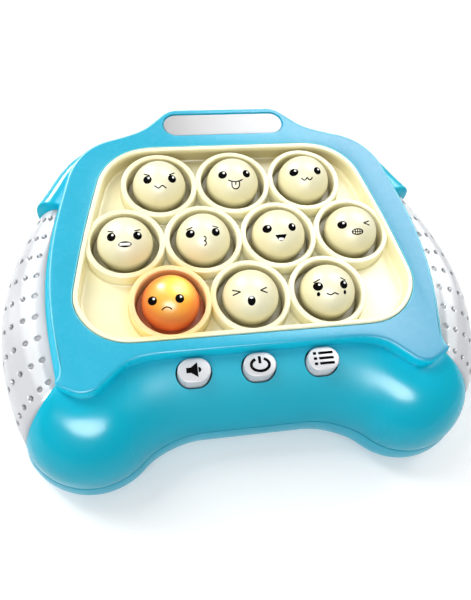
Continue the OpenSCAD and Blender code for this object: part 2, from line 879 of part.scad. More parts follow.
module main_board() {
    tab_w = 2 * (button_pitch + button_w / 2 + button_flange_w);
    tab_front = -button_y + button_l / 2 + button_flange_w;
    color("#2E7D4F")
        difference() {
            union() {
                translate([0, 0, board_under_z])
                    linear_extrude(board_t)
                        polygon(window_line);
                translate([-tab_w / 2, -tab_front, board_under_z])
                    cube([tab_w, tab_front - row_y, board_t]);
                for (p = board_post_places)
                    translate([p.x, p.y, board_under_z])
                        cylinder(d = board_post_d + 2 * board_t, h = board_t);
                for (side = [-1, 1])
                    translate([side * board_post_x - board_post_d / 2, row_y, board_under_z])
                        cube([board_post_d, board_post_rear - row_y, board_t]);
            }
            for (p = board_post_places)
                translate([p.x, p.y, board_under_z - eps])
                    cylinder(d = board_screw_d + hole_gap, h = board_t + 2 * eps);
        }
}

module lamps() {
    color("#FFF1D0")
        for (p = bubble_places)
            translate([p.x, p.y, board_z]) {
                cylinder(d = lamp_d, h = lamp_h - lamp_d / 2);
                translate([0, 0, lamp_h - lamp_d / 2])
                    sphere(d = lamp_d - eps);
            }
}

module board_screws() {
    color("silver")
        for (p = board_post_places)
            translate([p.x, p.y, board_under_z])
                screw(board_screw_d, board_screw_l, board_head_d, board_head_h);
}

module speaker() {
    color("#3A3D40")
        translate([0, -speaker_front, wall]) {
            cylinder(d = speaker_d, h = speaker_rim);
            translate([0, 0, speaker_rim - eps])
                cylinder(
                    d1 = speaker_d - 2 * box_wall,
                    d2 = magnet_d,
                    h = speaker_h / 2 - speaker_rim + 2 * eps
                );
            translate([0, 0, speaker_h / 2])
                cylinder(d = magnet_d, h = speaker_h / 2);
        }
}

module speaker_wires() {
    color("#C8372D")
        wires(3 * wire_d, -speaker_front, wall + speaker_h);
}

function cell_y(k) = box_back + (k - 1) * (cell_d + seat_gap);

// The middle battery lies the other way round
function cell_turn(k) = k == 1 ? -1 : 1;

module batteries() {
    color("#B98D3E")
        for (k = [0:2])
            translate([-cell_turn(k) * cell_l / 2, cell_y(k), box_z + cell_d / 2])
                rotate([0, cell_turn(k) * 90, 0]) {
                    cylinder(d = cell_d, h = cell_l - nub_l);
                    translate([0, 0, cell_l - nub_l - eps])
                        cylinder(d = nub_d, h = nub_l + eps);
                }
}

module battery_springs() {
    spring_l = contact_l - contact_t - seat_gap / 2;
    color("silver")
        for (k = [0:2])
            translate([-cell_turn(k) * (box_l / 2 - contact_t), cell_y(k), box_z + cell_d / 2])
                rotate([0, cell_turn(k) * 90, 0])
                    cylinder(d1 = spring_d, d2 = spring_tip_d, h = spring_l);
}

module battery_plates() {
    color("silver")
        for (k = [0:2], side = [-1, 1])
            translate([side * (box_l - contact_t) / 2, cell_y(k), box_z + cell_d / 2])
                cube([contact_t, contact_w, contact_w], center = true);
}

module battery_wires() {
    color("#202224")
        wires(box_l / 2, box_back, box_top_z + box_wall);
}

module battery_door() {
    color(teal)
        difference() {
            door_outline(0, door_t, 0);
            translate([0, door_screw_y, -eps])
                cylinder(d = board_screw_d + hole_gap, h = door_t + 2 * eps);
            translate([0, door_screw_y, -eps])
                cylinder(d = board_head_d + 2 * seat_gap, h = door_sink + eps);
        }
}

module battery_door_screw() {
    color("silver")
        translate([0, door_screw_y, door_sink])
            screw(board_screw_d, board_screw_l, board_head_d, door_sink - seat_gap);
}

module housing_screws() {
    color("silver")
        for (p = boss_places)
            translate([p.x, p.y, counterbore_z])
                screw(screw_d, screw_l, screw_head_d, screw_head_h);
}

// Everything is placed so that the body's middle lies over the origin
translate([0, -centre_y, 0]) {
    upper_shell();
    lower_shell();
    left_grip();
    right_grip();
    bubble_tray();
    name_plate();
    for (k = [0:len(bubble_places) - 1]) {
        bubble(k);
        key_dome(k);
    }
    button(0);  // volume_button
    button(1);  // power_button
    button(2);  // mode_button
    button_dome(0);  // volume_dome
    button_dome(1);  // power_dome
    button_dome(2);  // mode_dome
    main_board();
    lamps();
    board_screws();
    speaker();
    speaker_wires();
    batteries();
    battery_springs();
    battery_plates();
    battery_wires();
    battery_door();
    battery_door_screw();
    housing_screws();
}
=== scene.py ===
import math

import bpy
import numpy as np
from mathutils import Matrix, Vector


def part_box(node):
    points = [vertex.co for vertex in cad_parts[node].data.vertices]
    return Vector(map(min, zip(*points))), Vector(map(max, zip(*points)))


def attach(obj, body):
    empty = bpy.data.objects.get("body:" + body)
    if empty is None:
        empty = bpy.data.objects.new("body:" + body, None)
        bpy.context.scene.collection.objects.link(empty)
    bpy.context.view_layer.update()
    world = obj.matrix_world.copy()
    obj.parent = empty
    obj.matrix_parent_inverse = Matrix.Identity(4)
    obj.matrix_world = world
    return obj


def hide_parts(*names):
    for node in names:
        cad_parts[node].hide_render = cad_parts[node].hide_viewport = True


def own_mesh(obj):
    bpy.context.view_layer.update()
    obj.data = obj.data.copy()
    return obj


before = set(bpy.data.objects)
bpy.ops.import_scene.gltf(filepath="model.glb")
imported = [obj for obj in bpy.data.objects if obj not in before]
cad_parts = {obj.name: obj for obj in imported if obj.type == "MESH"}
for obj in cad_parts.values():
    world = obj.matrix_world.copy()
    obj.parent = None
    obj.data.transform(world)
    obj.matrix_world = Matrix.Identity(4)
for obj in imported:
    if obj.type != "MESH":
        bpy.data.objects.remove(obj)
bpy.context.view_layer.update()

# Lower shell: the tub of the case, moulded in glossy blue plastic. Its rim meets the upper shell at a
# fine parting line, and its floor holds the battery bay, the speaker's grille and four screw wells.
MM = 0.001
bubble_pitch, ring_r = 27.0, 13.7
lower_h, wall = 14.0, 2.2
row_y = bubble_pitch * math.sin(math.radians(60))
middle_low, middle_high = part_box("bubble_5")
middle_row_y = (middle_low.y + middle_high.y) / 2 / MM

window_front_gap, window_rear_gap, window_side_gap, window_shoulder_gap = 0.2, 2.9, 4.6, 9.3
window_rear_r = 20.0
window_front = row_y + ring_r + window_front_gap
window_rear = row_y + ring_r + window_rear_gap
window_half_w = 1.5 * bubble_pitch + ring_r + window_side_gap
window_corner = np.array([bubble_pitch + ring_r + window_shoulder_gap, window_rear]) - window_rear_r
face_front_border, face_rear_border = 4.5, 18.1
face_front = window_front + face_front_border
face_rear = window_rear + face_rear_border
lobe_inset, lobe_run, lobe_r = 3.0, 10.8, 23.6
lobe_centre = np.array([window_half_w - lobe_inset, -face_front - lobe_run])
shoulder_out, shoulder_back, body_shoulder_r = 7.7, 2.8, 28.0
shoulder_centre = window_corner + [shoulder_out, shoulder_back]
shoulder_turn = (5, 85, 4)
rear_run, valley_run, valley_w, body_bow = 3.4, 19.5, 48.0, 3.0
body_rear = face_rear + rear_run
inside_cad = 0.9988


def arc(centre, radius, start, end, steps):
    """Points of a circle's arc in equal steps: centre + radius * (cos a, sin a)."""
    a = np.radians(np.linspace(start, end, steps + 1))
    return np.asarray(centre) + radius * np.stack([np.cos(a), np.sin(a)], 1)


def case_outline(front_w, front_y, lobe, bow, shoulder, rear):
    """Corner points of a closed outline: half a straight front, a lobe, a side bowed by a half sine, a
    shoulder and half the rear, then the same points mirrored to the left."""
    front = np.array([[front_w / 2 * k / 2, -front_y] for k in range(3)])
    t = np.arange(1, 7)[:, None] / 7
    side = lobe[-1] + (shoulder[0] - lobe[-1]) * t + np.hstack([bow * np.sin(np.pi * t), 0 * t])
    half = np.vstack([front, lobe, side, shoulder, rear])
    return np.vstack([half, half[-2:0:-1] * [-1, 1]])


def along_outline(corners, station):
    """Quadratic spline through the middles of the outline's sides, ((1-t)^2 a + (1+2t-2t^2) b + t^2 c) / 2
    for the corners a, b, c round a station b + t, and its unit normal, which points outwards."""
    station = np.asarray(station, float)
    k = np.floor(station).astype(int)
    t = (station - k)[..., None]
    n = len(corners)
    a, b, c = corners[(k - 1) % n], corners[k % n], corners[(k + 1) % n]
    point = ((1 - t) ** 2 * a + (1 + 2 * t - 2 * t * t) * b + t * t * c) / 2
    run = -(1 - t) * a + (1 - 2 * t) * b + t * c
    normal = np.stack([run[..., 1], -run[..., 0]], -1)
    return point, normal / np.linalg.norm(normal, axis=-1, keepdims=True)


body_shoulder = arc(shoulder_centre, body_shoulder_r, *shoulder_turn)
rear_shares = np.arange(4, -1, -1)[:, None] / 5
body_rear_points = np.hstack([
    body_shoulder[-1, 0] * rear_shares,
    body_rear - (body_rear - body_shoulder[-1, 1]) * rear_shares ** 2,
])
body_corners = inside_cad * case_outline(
    valley_w, face_front + valley_run, arc(lobe_centre, lobe_r, 215, 340, 6), body_bow,
    body_shoulder, body_rear_points,
)
corner_count = len(body_corners)


def ring_of(outline, out, z):
    """One closed row of points: an outline moved out along its normals, at a height."""
    point, normal = outline
    flat = point + normal * np.broadcast_to(out, point.shape[:1])[:, None]
    return np.column_stack([flat, np.broadcast_to(z, len(flat))])


def rows_of(outline, profile):
    """Rows of points: an outline carried along a profile of (out, height)."""
    return [ring_of(outline, out, z) for out, z in profile]


def loop_faces(rows, columns, closed=False):
    """Quads between neighbouring rows of points, where each row is a closed loop run anticlockwise."""
    r = np.arange(rows if closed else rows - 1)[:, None]
    c = np.arange(columns)[None, :]
    up, on = (r + 1) % rows, (c + 1) % columns
    quads = np.stack([r * columns + c, r * columns + on, up * columns + on, up * columns + c], -1)
    return quads.reshape(-1, 4).tolist()


def capped(rows):
    """A closed solid from rows of loops, with a flat face over its first and its last row."""
    rows = np.asarray(rows)
    m, n = rows.shape[:2]
    faces = loop_faces(m, n)
    faces.append(list(range(n - 1, -1, -1)))
    faces.append(list(range((m - 1) * n, m * n)))
    return rows.reshape(-1, 3), faces


def joined(solids):
    """Several solids as one list of points and one list of faces."""
    points, faces, start = [], [], 0
    for solid_points, solid_faces in solids:
        points.append(solid_points)
        faces += [[start + i for i in face] for face in solid_faces]
        start += len(solid_points)
    return np.vstack(points), faces


def soften(piece, crease):
    """Smooth shading, apart from edges sharper than the crease angle."""
    mesh = piece.data
    mesh.polygons.foreach_set("use_smooth", np.ones(len(mesh.polygons), bool))
    mesh.set_sharp_from_angle(angle=math.radians(crease))
    mesh.update()


def add_piece(name, solid, material, body="housing", crease=35):
    """Puts a solid, in millimetres from the middle row of bubbles, into a smooth mesh that rides on a
    body. Edges sharper than the crease angle stay sharp."""
    points, faces = solid
    placed = (points + [0, middle_row_y, 0]) * MM
    mesh = bpy.data.meshes.new(name)
    mesh.from_pydata(placed.tolist(), [], faces)
    mesh.materials.append(material)
    piece = bpy.data.objects.new(name, mesh)
    bpy.context.scene.collection.objects.link(piece)
    soften(piece, crease)
    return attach(piece, body)


def cut(piece, solid, crease=35):
    """Takes a solid out of a piece, and keeps the result as the piece's own mesh."""
    tool = add_piece("cutter", solid, piece.data.materials[0])
    step = piece.modifiers.new("cut", "BOOLEAN")
    step.operation = "DIFFERENCE"
    step.solver = "EXACT"
    step.object = tool
    depsgraph = bpy.context.evaluated_depsgraph_get()
    result = bpy.data.meshes.new_from_object(piece.evaluated_get(depsgraph))
    piece.modifiers.clear()
    piece.data = result
    bpy.data.objects.remove(tool)
    soften(piece, crease)


def circle(radius, steps):
    """A circle as points and their normals."""
    a = np.linspace(0, 2 * np.pi, steps, endpoint=False)
    normal = np.stack([np.cos(a), np.sin(a)], 1)
    return normal * radius, normal


def standing(outline, profile, x=0.0, y=0.0):
    """Upright solid at a place: an outline carried along a profile of (out, height), with flat ends."""
    return capped(np.array(rows_of(outline, profile)) + [x, y, 0])


def column(outline, low, high, x=0.0, y=0.0):
    """Upright solid at a place with the same outline from a low to a high level."""
    return standing(outline, [(0, low), (0, high)], x, y)


def paint(red, green, blue):
    """A colour named by its eight-bit screen values, as the shader's linear colour."""
    c = np.array([red, green, blue]) / 255
    linear = np.where(c <= 0.04045, c / 12.92, ((c + 0.055) / 1.055) ** 2.4)
    return (*linear.tolist(), 1.0)


def feed(tree, socket, value):
    """Gives a node's input a value, or links another node's output to it."""
    if isinstance(value, bpy.types.NodeSocket):
        tree.links.new(value, socket)
    else:
        socket.default_value = value


def put(tree, kind, settings=(), **inputs):
    """A new node: settings are its own properties, and each input gets a value or another node's socket.
    An underscore in an input's name stands for a space."""
    made = tree.nodes.new(kind)
    for key, value in dict(settings).items():
        setattr(made, key, value)
    for key, value in inputs.items():
        feed(tree, made.inputs[key.replace("_", " ")], value)
    return made


def mixed(tree, share, first, second, blend="MIX"):
    """Colour that goes from a first to a second one by a share."""
    made = put(tree, "ShaderNodeMix", {"data_type": "RGBA", "blend_type": blend})
    for socket, value in ((0, share), (6, first), (7, second)):
        feed(tree, made.inputs[socket], value)
    return made.outputs[2]


def reckoned(tree, operation, *values):
    """Result of one operation on values."""
    made = put(tree, "ShaderNodeMath", {"operation": operation})
    for socket, value in zip(made.inputs, values):
        feed(tree, socket, value)
    return made.outputs[0]


moulded = bpy.data.node_groups.new("moulded plastic", "ShaderNodeTree")
for way, label, kind in (
    ("INPUT", "Colour", "Color"), ("INPUT", "Shade", "Color"),
    ("INPUT", "Roughness", "Float"), ("INPUT", "Grain", "Float"),
    ("OUTPUT", "Colour", "Color"), ("OUTPUT", "Roughness", "Float"), ("OUTPUT", "Height", "Float"),
):
    moulded.interface.new_socket(label, in_out=way, socket_type=f"NodeSocket{kind}")
given = moulded.nodes.new("NodeGroupInput").outputs
handed = moulded.nodes.new("NodeGroupOutput").inputs
place = put(moulded, "ShaderNodeTexCoord").outputs["Object"]
cloud = put(moulded, "ShaderNodeTexNoise", Vector=place, Scale=45.0, Detail=3.0).outputs["Fac"]
cloud_share = put(moulded, "ShaderNodeMapRange", Value=cloud, From_Min=0.35, From_Max=0.7)
smear = put(moulded, "ShaderNodeTexNoise", Vector=place, Scale=160.0, Detail=5.0, Roughness=0.65)
smear_share = put(
    moulded, "ShaderNodeMapRange", Value=smear.outputs["Fac"],
    From_Min=0.3, From_Max=0.75, To_Min=-0.012, To_Max=0.02,
)
pores = put(moulded, "ShaderNodeTexNoise", Vector=place, Scale=given["Grain"], Detail=2.0)
drift = mixed(moulded, cloud_share.outputs["Result"], given["Colour"], given["Shade"])
gloss = reckoned(moulded, "ADD", given["Roughness"], smear_share.outputs["Result"])
for label, value in (("Colour", drift), ("Roughness", gloss), ("Height", pores.outputs["Fac"])):
    feed(moulded, handed[label], value)


def plastic(name, roughness, colours=(), bump=0.006, grain=900.0, **constants):
    """Moulded plastic: the first colour drifts slowly to the second, faint smears change the gloss, and fine
    pores roughen the skin. Both colours are left out where a tint gives them. Constants are set on the
    shader's own sockets."""
    material = bpy.data.materials.new(name)
    material.use_nodes = True
    tree = material.node_tree
    shader = tree.nodes["Principled BSDF"]
    skin = put(tree, "ShaderNodeGroup", {"node_tree": moulded}, Roughness=roughness, Grain=grain)
    for key, colour in zip(("Colour", "Shade"), colours):
        skin.inputs[key].default_value = paint(*colour)
    pits = put(tree, "ShaderNodeBump", Strength=bump, Distance=0.0002, Height=skin.outputs["Height"])
    feed(tree, shader.inputs["Base Color"], skin.outputs["Colour"])
    feed(tree, shader.inputs["Roughness"], skin.outputs["Roughness"])
    feed(tree, shader.inputs["Normal"], pits.outputs["Normal"])
    for key, value in constants.items():
        shader.inputs[key.replace("_", " ")].default_value = value
    return material


tub_blue = plastic("tub blue", 0.3, ((50, 170, 196), (44, 164, 191)), IOR=1.3)

column_stations = np.arange(corner_count * 12) / 12
body_loop = along_outline(body_corners, column_stations)
base_round, lower_swell = 6.0, 2.0


def tub_side(a):
    """How far the tub's side stands out at an angle down its rounded bottom edge: a slight swell, then
    a quarter circle that draws in."""
    return lower_swell * math.sin(2 * a) - base_round * (1 - math.cos(a))


tub_turns = np.radians(np.linspace(90, 4, 15))
groove_h, groove_depth, groove_out, rim_gap = 0.5, 0.5, 0.12, 0.02
groove_z, tub_rim_z = lower_h - groove_h, lower_h - rim_gap
tub_profile = [(tub_side(a), lower_h * (1 - math.sin(a))) for a in tub_turns]
tub_profile += [(groove_out, groove_z - 0.1), (rim_gap, groove_z)]
tub_profile += [(-groove_depth, groove_z + 0.05), (-groove_depth, tub_rim_z), (-wall, tub_rim_z)]
tub_profile += [
    (tub_side(a) - wall * math.cos(a), lower_h * (1 - math.sin(a)) + wall * math.sin(a))
    for a in tub_turns[::-2]
]
lower_shell = add_piece("lower_shell_skin", standing(body_loop, tub_profile), tub_blue)

well_r, well_top = 2.7, 10.8
front_well_run, rear_well_x, rear_well_run = 1.8, 17.2, 9.5
right_wells = [(lobe_centre[0], -face_front - front_well_run), (rear_well_x, face_rear - rear_well_run)]
screw_wells = [(side * x, y) for x, y in right_wells for side in (-1, 1)]
speaker_y = -30.0
grille_pitch, grille_hole_r = 4.4, 1.1
grille_holes = [
    ((a + b / 2) * grille_pitch, b * grille_pitch * math.sin(math.radians(60)) + speaker_y)
    for a in range(-3, 4) for b in range(-3, 4) if abs(a + b) <= 3
]
bay_l, bay_w, bay_y = 50.5, 32.3, 14.0
door_gap, door_lap, door_ear, door_seat = 0.2, 1.6, 8.0, 1.8
door_w, door_l = bay_l + 2 * door_lap, bay_w + 2 * door_lap
door_screw_y = bay_y + door_l / 2 + door_ear / 2


def door_plan(gap):
    """Outline of the battery door: a rectangle with a round ear behind it, grown by a gap."""
    x, ear = door_w / 2 + gap, door_ear / 2 + gap
    front, rear = bay_y - door_l / 2 - gap, bay_y + door_l / 2 + gap
    tip = arc((0, door_screw_y), ear, 0, 180, 16)
    plan = np.vstack([[(-x, front), (x, front), (x, rear), (ear, rear)], tip, [(-ear, rear), (-x, rear)]])
    return plan, 0 * plan


cut(lower_shell, joined(
    [column(circle(well_r, 40), -1, well_top, x, y) for x, y in screw_wells]
    + [column(circle(grille_hole_r, 20), -1, wall + 1, x, y) for x, y in grille_holes]
    + [column(door_plan(door_gap), -1, door_seat)]
))
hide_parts("lower_shell")

# Battery door and screws: the door is a loose plate of the same blue plastic, held by one small screw.
# The case is closed by four plated self-tapping screws with cross slots, sunk in the wells.
door_blue = plastic("door blue", 0.26, ((30, 168, 202), (24, 160, 195)), bump=0.06, grain=700.0)


def dress(material, *names):
    """Gives CAD nodes a material of their own."""
    for name in names:
        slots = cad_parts[name].data.materials
        slots.clear()
        slots.append(material)


dress(door_blue, "battery_door")
steel = plastic(
    "plated steel", 0.3, ((196, 198, 202), (172, 175, 180)), bump=0.05, grain=1500.0, Metallic=1.0
)


def revolved(profile, x, y, columns=64):
    """Solid of revolution about an upright axis at a place: each profile point (radius, height) becomes a
    ring of points, x + radius cos a and y + radius sin a, or one point where the radius is zero."""
    a = np.linspace(0, 2 * np.pi, columns, endpoint=False)
    points, rows, faces, start = [], [], [], 0
    for radius, z in profile:
        turn = a if radius > 0 else a[:1]
        rows.append(start + np.arange(columns) % len(turn))
        points.append(np.column_stack([x + radius * np.cos(turn), y + radius * np.sin(turn), 0 * turn + z]))
        start += len(turn)
    for low, high in zip(rows, rows[1:]):
        quads = np.stack([low, np.roll(low, -1), np.roll(high, -1), high], 1)
        corners = [0, 2, 3] if low[0] == low[1] else [0, 1, 2] if high[0] == high[1] else [0, 1, 2, 3]
        faces += quads[:, corners].tolist()
    return np.vstack(points), faces


def cross_screw(x, y, z, shank_r, shank_l, head_r, head_h):
    """Pan-head screw, head down: a revolved profile with a domed head, cut later by a cross."""
    rim_share, tip_l, tip_share = 0.35, 1.0, 0.4
    dome_turns = np.linspace(0.25, 1.57, 7)
    dome_z = z - head_h * (rim_share + (1 - rim_share) * np.cos(dome_turns))
    profile = [(0, z - head_h), *zip(head_r * np.sin(dome_turns), dome_z)]
    profile += [(head_r, z), (shank_r, z), (shank_r, z + shank_l - tip_l)]
    profile += [(shank_r * tip_share, z + shank_l), (0, z + shank_l)]
    return revolved(profile, x, y, 32)


def cross_slot(x, y, z, head_r, depth):
    """Two crossing bars, which cut the slots of a screw's head from below."""
    bars = []
    slot_l, slot_w = head_r * 1.2, head_r * 0.28
    for w, l in ((slot_l, slot_w), (slot_w, slot_l)):
        plan = np.array([(-w / 2, -l / 2), (w / 2, -l / 2), (w / 2, l / 2), (-w / 2, l / 2)])
        bars.append(column((plan, 0 * plan), z - 1, z + depth, x, y))
    return bars


case_shank_r, case_shank_l, case_head_r, case_head_h, case_slot = 1.3, 12.0, 2.5, 1.8, 0.9
case_screws = add_piece("case_screws", joined([
    cross_screw(x, y, well_top, case_shank_r, case_shank_l, case_head_r, case_head_h) for x, y in screw_wells
]), steel)
for bar in range(2):
    cut(case_screws, joined([
        cross_slot(x, y, well_top - case_head_h, case_head_r, case_slot)[bar] for x, y in screw_wells
    ]))
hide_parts("housing_screws")
door_shank_r, door_shank_l, door_head_z, door_head_r, door_head_h, door_slot = 1.0, 6.0, 0.9, 2.0, 0.7, 0.4
door_screw = add_piece("door_screw", cross_screw(
    0, door_screw_y, door_head_z, door_shank_r, door_shank_l, door_head_r, door_head_h
), steel)
for bar in cross_slot(0, door_screw_y, door_head_z - door_head_h, door_head_r, door_slot):
    cut(door_screw, bar)
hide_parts("battery_door_screw")

# Batteries and contacts: three small cells in the bay, with lacquered steel jackets, between plated spring
# contacts and plates. Two black wires carry the current up to the board.
jacket = plastic("cell jacket", 0.28, ((176, 132, 58), (158, 116, 48)), Metallic=0.6)
black_wire = plastic("black wire", 0.45, ((30, 31, 33), (22, 23, 25)))
dress(jacket, "batteries")
dress(steel, "battery_springs", "battery_plates", "board_screws")
dress(black_wire, "battery_wires")

# Speaker: a small cone speaker with a black steel basket and magnet, face down over the grille. Two red
# wires, soldered at both ends, join it to the board.
basket = plastic("speaker basket", 0.42, ((46, 47, 50), (36, 37, 40)), Metallic=0.4)
red_wire = plastic("red wire", 0.45, ((186, 46, 38), (160, 36, 30)))
dress(basket, "speaker")
dress(red_wire, "speaker_wires")

# Main board: green glass-fibre board screwed to four posts of the upper shell, with one clear lamp under
# the middle of each bubble.
board_green = plastic("board green", 0.38, ((38, 116, 72), (28, 98, 60)), bump=0.05, grain=400.0)
lamp_clear = plastic("lamp resin", 0.12, ((250, 242, 214), (244, 232, 196)), IOR=1.5)
dress(board_green, "main_board")
dress(lamp_clear, "lamps")

# Rubber domes: thin silicone cones on the board, which fold as a bubble or a button is pressed and push
# it back up. Here each is drawn unfolded, at rest, in a mesh of its own.
dome_rubber = plastic("dome rubber", 0.6, ((238, 236, 228), (228, 225, 214)), bump=0.04)
board_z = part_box("main_board")[1].z / MM
key_top_r, dome_wall, bubble_travel, button_travel = 9.6, 0.9, 4.0, 1.0


def dome(x, y, base_r, top_r, top_z, skin):
    """Revolved S-shaped cone between the board and a flat top ring, of one even skin: the radius falls
    from base to top by half a cosine."""
    t = np.linspace(0, 1, 9)
    outer = top_r + (base_r - top_r) * (0.5 + 0.5 * np.cos(np.pi * t))
    height = board_z + (top_z - board_z) * t
    profile = np.vstack([np.column_stack([outer, height]), np.column_stack([outer - skin, height])[::-1]])
    return revolved(np.vstack([profile, profile[:1]]), x, y, 48)


def middle_of(name):
    """Place of a node's middle, in millimetres from the middle row of bubbles."""
    low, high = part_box(name)
    return (low.x + high.x) / 2 / MM, (low.y + high.y) / 2 / MM - middle_row_y


bubble_names = [f"bubble_{k}" for k in range(1, 11)]
button_names = ["volume_button", "power_button", "mode_button"]
dome_pairs = [(b, f"key_dome_{k}", bubble_travel) for k, b in enumerate(bubble_names, 1)]
dome_pairs += [(b, b.replace("button", "dome"), button_travel) for b in button_names]
for key, node, travel in dome_pairs:
    x, y = middle_of(node)
    low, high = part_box(node)
    base_r = (high.x - low.x) / 2 / MM
    top_r = key_top_r if key in bubble_names else base_r - dome_wall
    piece = add_piece(f"{node}_skin", dome(x, y, base_r, top_r, high.z / MM, dome_wall), dome_rubber)
    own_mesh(piece)
    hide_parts(node)

# Upper shell: the blue cover of the case, moulded in one with its raised face, the wavy step over the two
# round lobes, the seats of the grips and the sleeves that close over the grips' rear ends.
case_blue = plastic("case blue", 0.27, bump=0.002, IOR=1.25)
flank_h, face_step = 24.0, 5.5
foot_z = lower_h + flank_h
face_z = foot_z + face_step
face_under_z = face_z - wall
face_edge, face_mid, window_edge, lower_edge, parting_gap = 1.1, 1.6, 0.35, 0.4, 0.03
corner_station, grip_start, sleeve_edge, sleeve_end = 8.5, 9.4, 16.0, 22.0
seat_strip, seat_limit, seat_low, grip_seat = 2.2, 0.35, 0.88, 2.0
shoulder_swell, lip_flare, flare_run, lip_round, lip_start, sleeve_rise = 3.0, 3.1, 2.0, 0.05, 0.9, 0.6

wave_w, wave_tip_r, wave_tip_run, face_bow, face_shoulder_r = 82.0, 7.8, 2.9, 4.7, 22.6
bump_half, bump_flare, bump_h = 20.8, 10.2, 9.5
corner_out, corner_run, corner_draw, corner_back = 9.2, 3.7, 2.2, 2.8
corner_thin, corner_spread = 0.5, 0.6
wave_tip = np.array([lobe_centre[0], -face_front - wave_tip_run])
wave_corner = wave_tip + [corner_out, -corner_run]


def face_outline(wave_points):
    """Corner points of the raised face with its wavy front edge and the bump behind the window."""
    return case_outline(
        wave_w, face_front, wave_points, face_bow, arc(shoulder_centre, face_shoulder_r, *shoulder_turn),
        np.array([
            (bump_half + bump_flare, face_rear - bump_h),
            (bump_half + bump_flare / 2, face_rear - bump_h / 2),
            (bump_half, face_rear),
            (bump_half * 2 / 3, face_rear),
            (0, face_rear),
        ]),
    )


face_corners = face_outline(np.vstack([
    arc(wave_tip, wave_tip_r, 215, 305, 4), wave_corner, wave_corner + [-corner_draw, corner_back]
]))
round_corners = face_outline(arc(wave_tip, wave_tip_r, 215, 350, 6))
window_front_r, window_bow = 18.8, 0.6
window_arc_x = window_half_w - window_front_r
window_corners = case_outline(
    2 * window_arc_x - window_front_r / 2, window_front,
    arc((window_arc_x, -window_front + window_front_r), window_front_r, 275, 355, 6), window_bow,
    arc(window_corner, window_rear_r, *shoulder_turn),
    np.hstack([window_corner[0] * rear_shares, np.full((5, 1), window_rear)]),
)
edge_step = 0.02
edge_stations = np.array([
    grip_start - edge_step, grip_start + edge_step, sleeve_edge - edge_step,
    sleeve_edge, sleeve_edge + edge_step, sleeve_edge + lip_round,
])
stations = np.concatenate([column_stations, edge_stations, corner_count + 1 - edge_stations])
stations = np.unique(np.round(stations, 6))
right_station = np.where(stations <= (corner_count + 1) / 2, stations, corner_count + 1 - stations)
face_loop, round_loop, body_loop, window_loop = (
    along_outline(corners, stations)
    for corners in (face_corners, round_corners, body_corners, window_corners)
)


def flank_point(face, body, s, out):
    """Point of the flank: from the foot of the face (s = 0) to the parting line (s = 1) it follows a quarter
    of an ellipse, face + (body - face) sin, foot - height (1 - cos), moved out along the body's normal."""
    a = np.pi / 2 * np.asarray(s, float)
    flat = face[0] + (body[0] - face[0]) * np.sin(a)[..., None] + body[1] * np.asarray(out)[..., None]
    z = foot_z - flank_h * (1 - np.cos(a))
    return np.concatenate([flat, np.broadcast_to(z, flat.shape[:-1])[..., None]], -1)


def seat_top(face, body):
    """Where a seat's upper edge lies on the flank, so that a strip of one width stays beside the face."""
    width = np.linalg.norm(body[0] - face[0], axis=-1)
    return np.arcsin(np.clip(seat_strip / width, 0, seat_limit)) * 2 / np.pi


def sleeve_swelling():
    """How far the shoulder swells out at each column, in millimetres: a slow cosine over the shoulder, and a
    flare that falls off by a square behind the sleeve's rounded lip."""
    back = right_station - sleeve_edge
    slow = shoulder_swell * np.cos(np.pi / 2 * np.clip(back / (sleeve_end - sleeve_edge), 0, 1))
    flare = lip_flare * np.clip(1 - back / flare_run, 0, 1) ** 2
    lip = lip_start + (1 - lip_start) * np.sqrt(1 - (1 - np.clip(back / lip_round, 0, 1)) ** 2)
    return np.where(back >= -1e-9, lip * (slow + flare), 0.0)


seat_tops = seat_top(face_loop, body_loop)
swelling = sleeve_swelling()
on_seat = (right_station > grip_start) & (right_station < sleeve_edge - edge_step / 2)


def flank_row(u):
    """One row of the outer flank, sunk where a grip sits and swollen where a sleeve is. Row 1 runs along
    the upper edges of the seats, row 2 along their lower ones and row 3 along the parting line."""
    s = seat_tops * min(u, 1) + (seat_low - seat_tops) * np.clip(u - 1, 0, 1) + (1 - seat_low) * max(u - 2, 0)
    swell = swelling * np.sin(np.pi * s)
    out = np.where(on_seat & (1 < u < 2), -grip_seat, swell)
    row = flank_point(face_loop, body_loop, s, out)
    row[:, 2] += sleeve_rise * swell
    return row


row_marks = np.concatenate([
    np.linspace(0, 1, 9), [1.005], np.linspace(1.03, 1.97, 34), [1.995], np.linspace(2, 2.9, 9)
])[::-1]


def along_axis(tree, axis):
    """A material's Object coordinate along one axis."""
    spot = put(tree, "ShaderNodeTexCoord").outputs["Object"]
    return put(tree, "ShaderNodeSeparateXYZ", Vector=spot).outputs[axis]


def between(tree, value, low, high, start=0.0, end=1.0):
    """Share that runs from start to end between two places or distances in millimetres."""
    made = put(
        tree, "ShaderNodeMapRange", Value=value,
        From_Min=low * MM, From_Max=high * MM, To_Min=start, To_Max=end,
    )
    return made.outputs["Result"]


def level(tree, low, high):
    """Share from 0 to 1 of the height above the table, between two levels in millimetres."""
    return between(tree, along_axis(tree, "Z"), low, high)


def ramp(tree, share, stops):
    """Colour that changes with a share from 0 to 1: each stop has a position and eight-bit screen values."""
    made = put(tree, "ShaderNodeValToRGB", Fac=share)
    elements = made.color_ramp.elements
    for end, (position, colour) in ((0, stops[0]), (1, stops[-1])):
        elements[end].position = position
        elements[end].color = paint(*colour)
    for position, colour in stops[1:-1]:
        elements.new(position).color = paint(*colour)
    return made.outputs["Color"]


def tint(material, colour):
    """Gives a plastic a colour that changes over the piece, and a second shade a little darker."""
    tree = material.node_tree
    skin = tree.nodes["Group"]
    darker = put(tree, "ShaderNodeHueSaturation", Value=0.97, Color=colour)
    feed(tree, skin.inputs["Colour"], colour)
    feed(tree, skin.inputs["Shade"], darker.outputs["Color"])
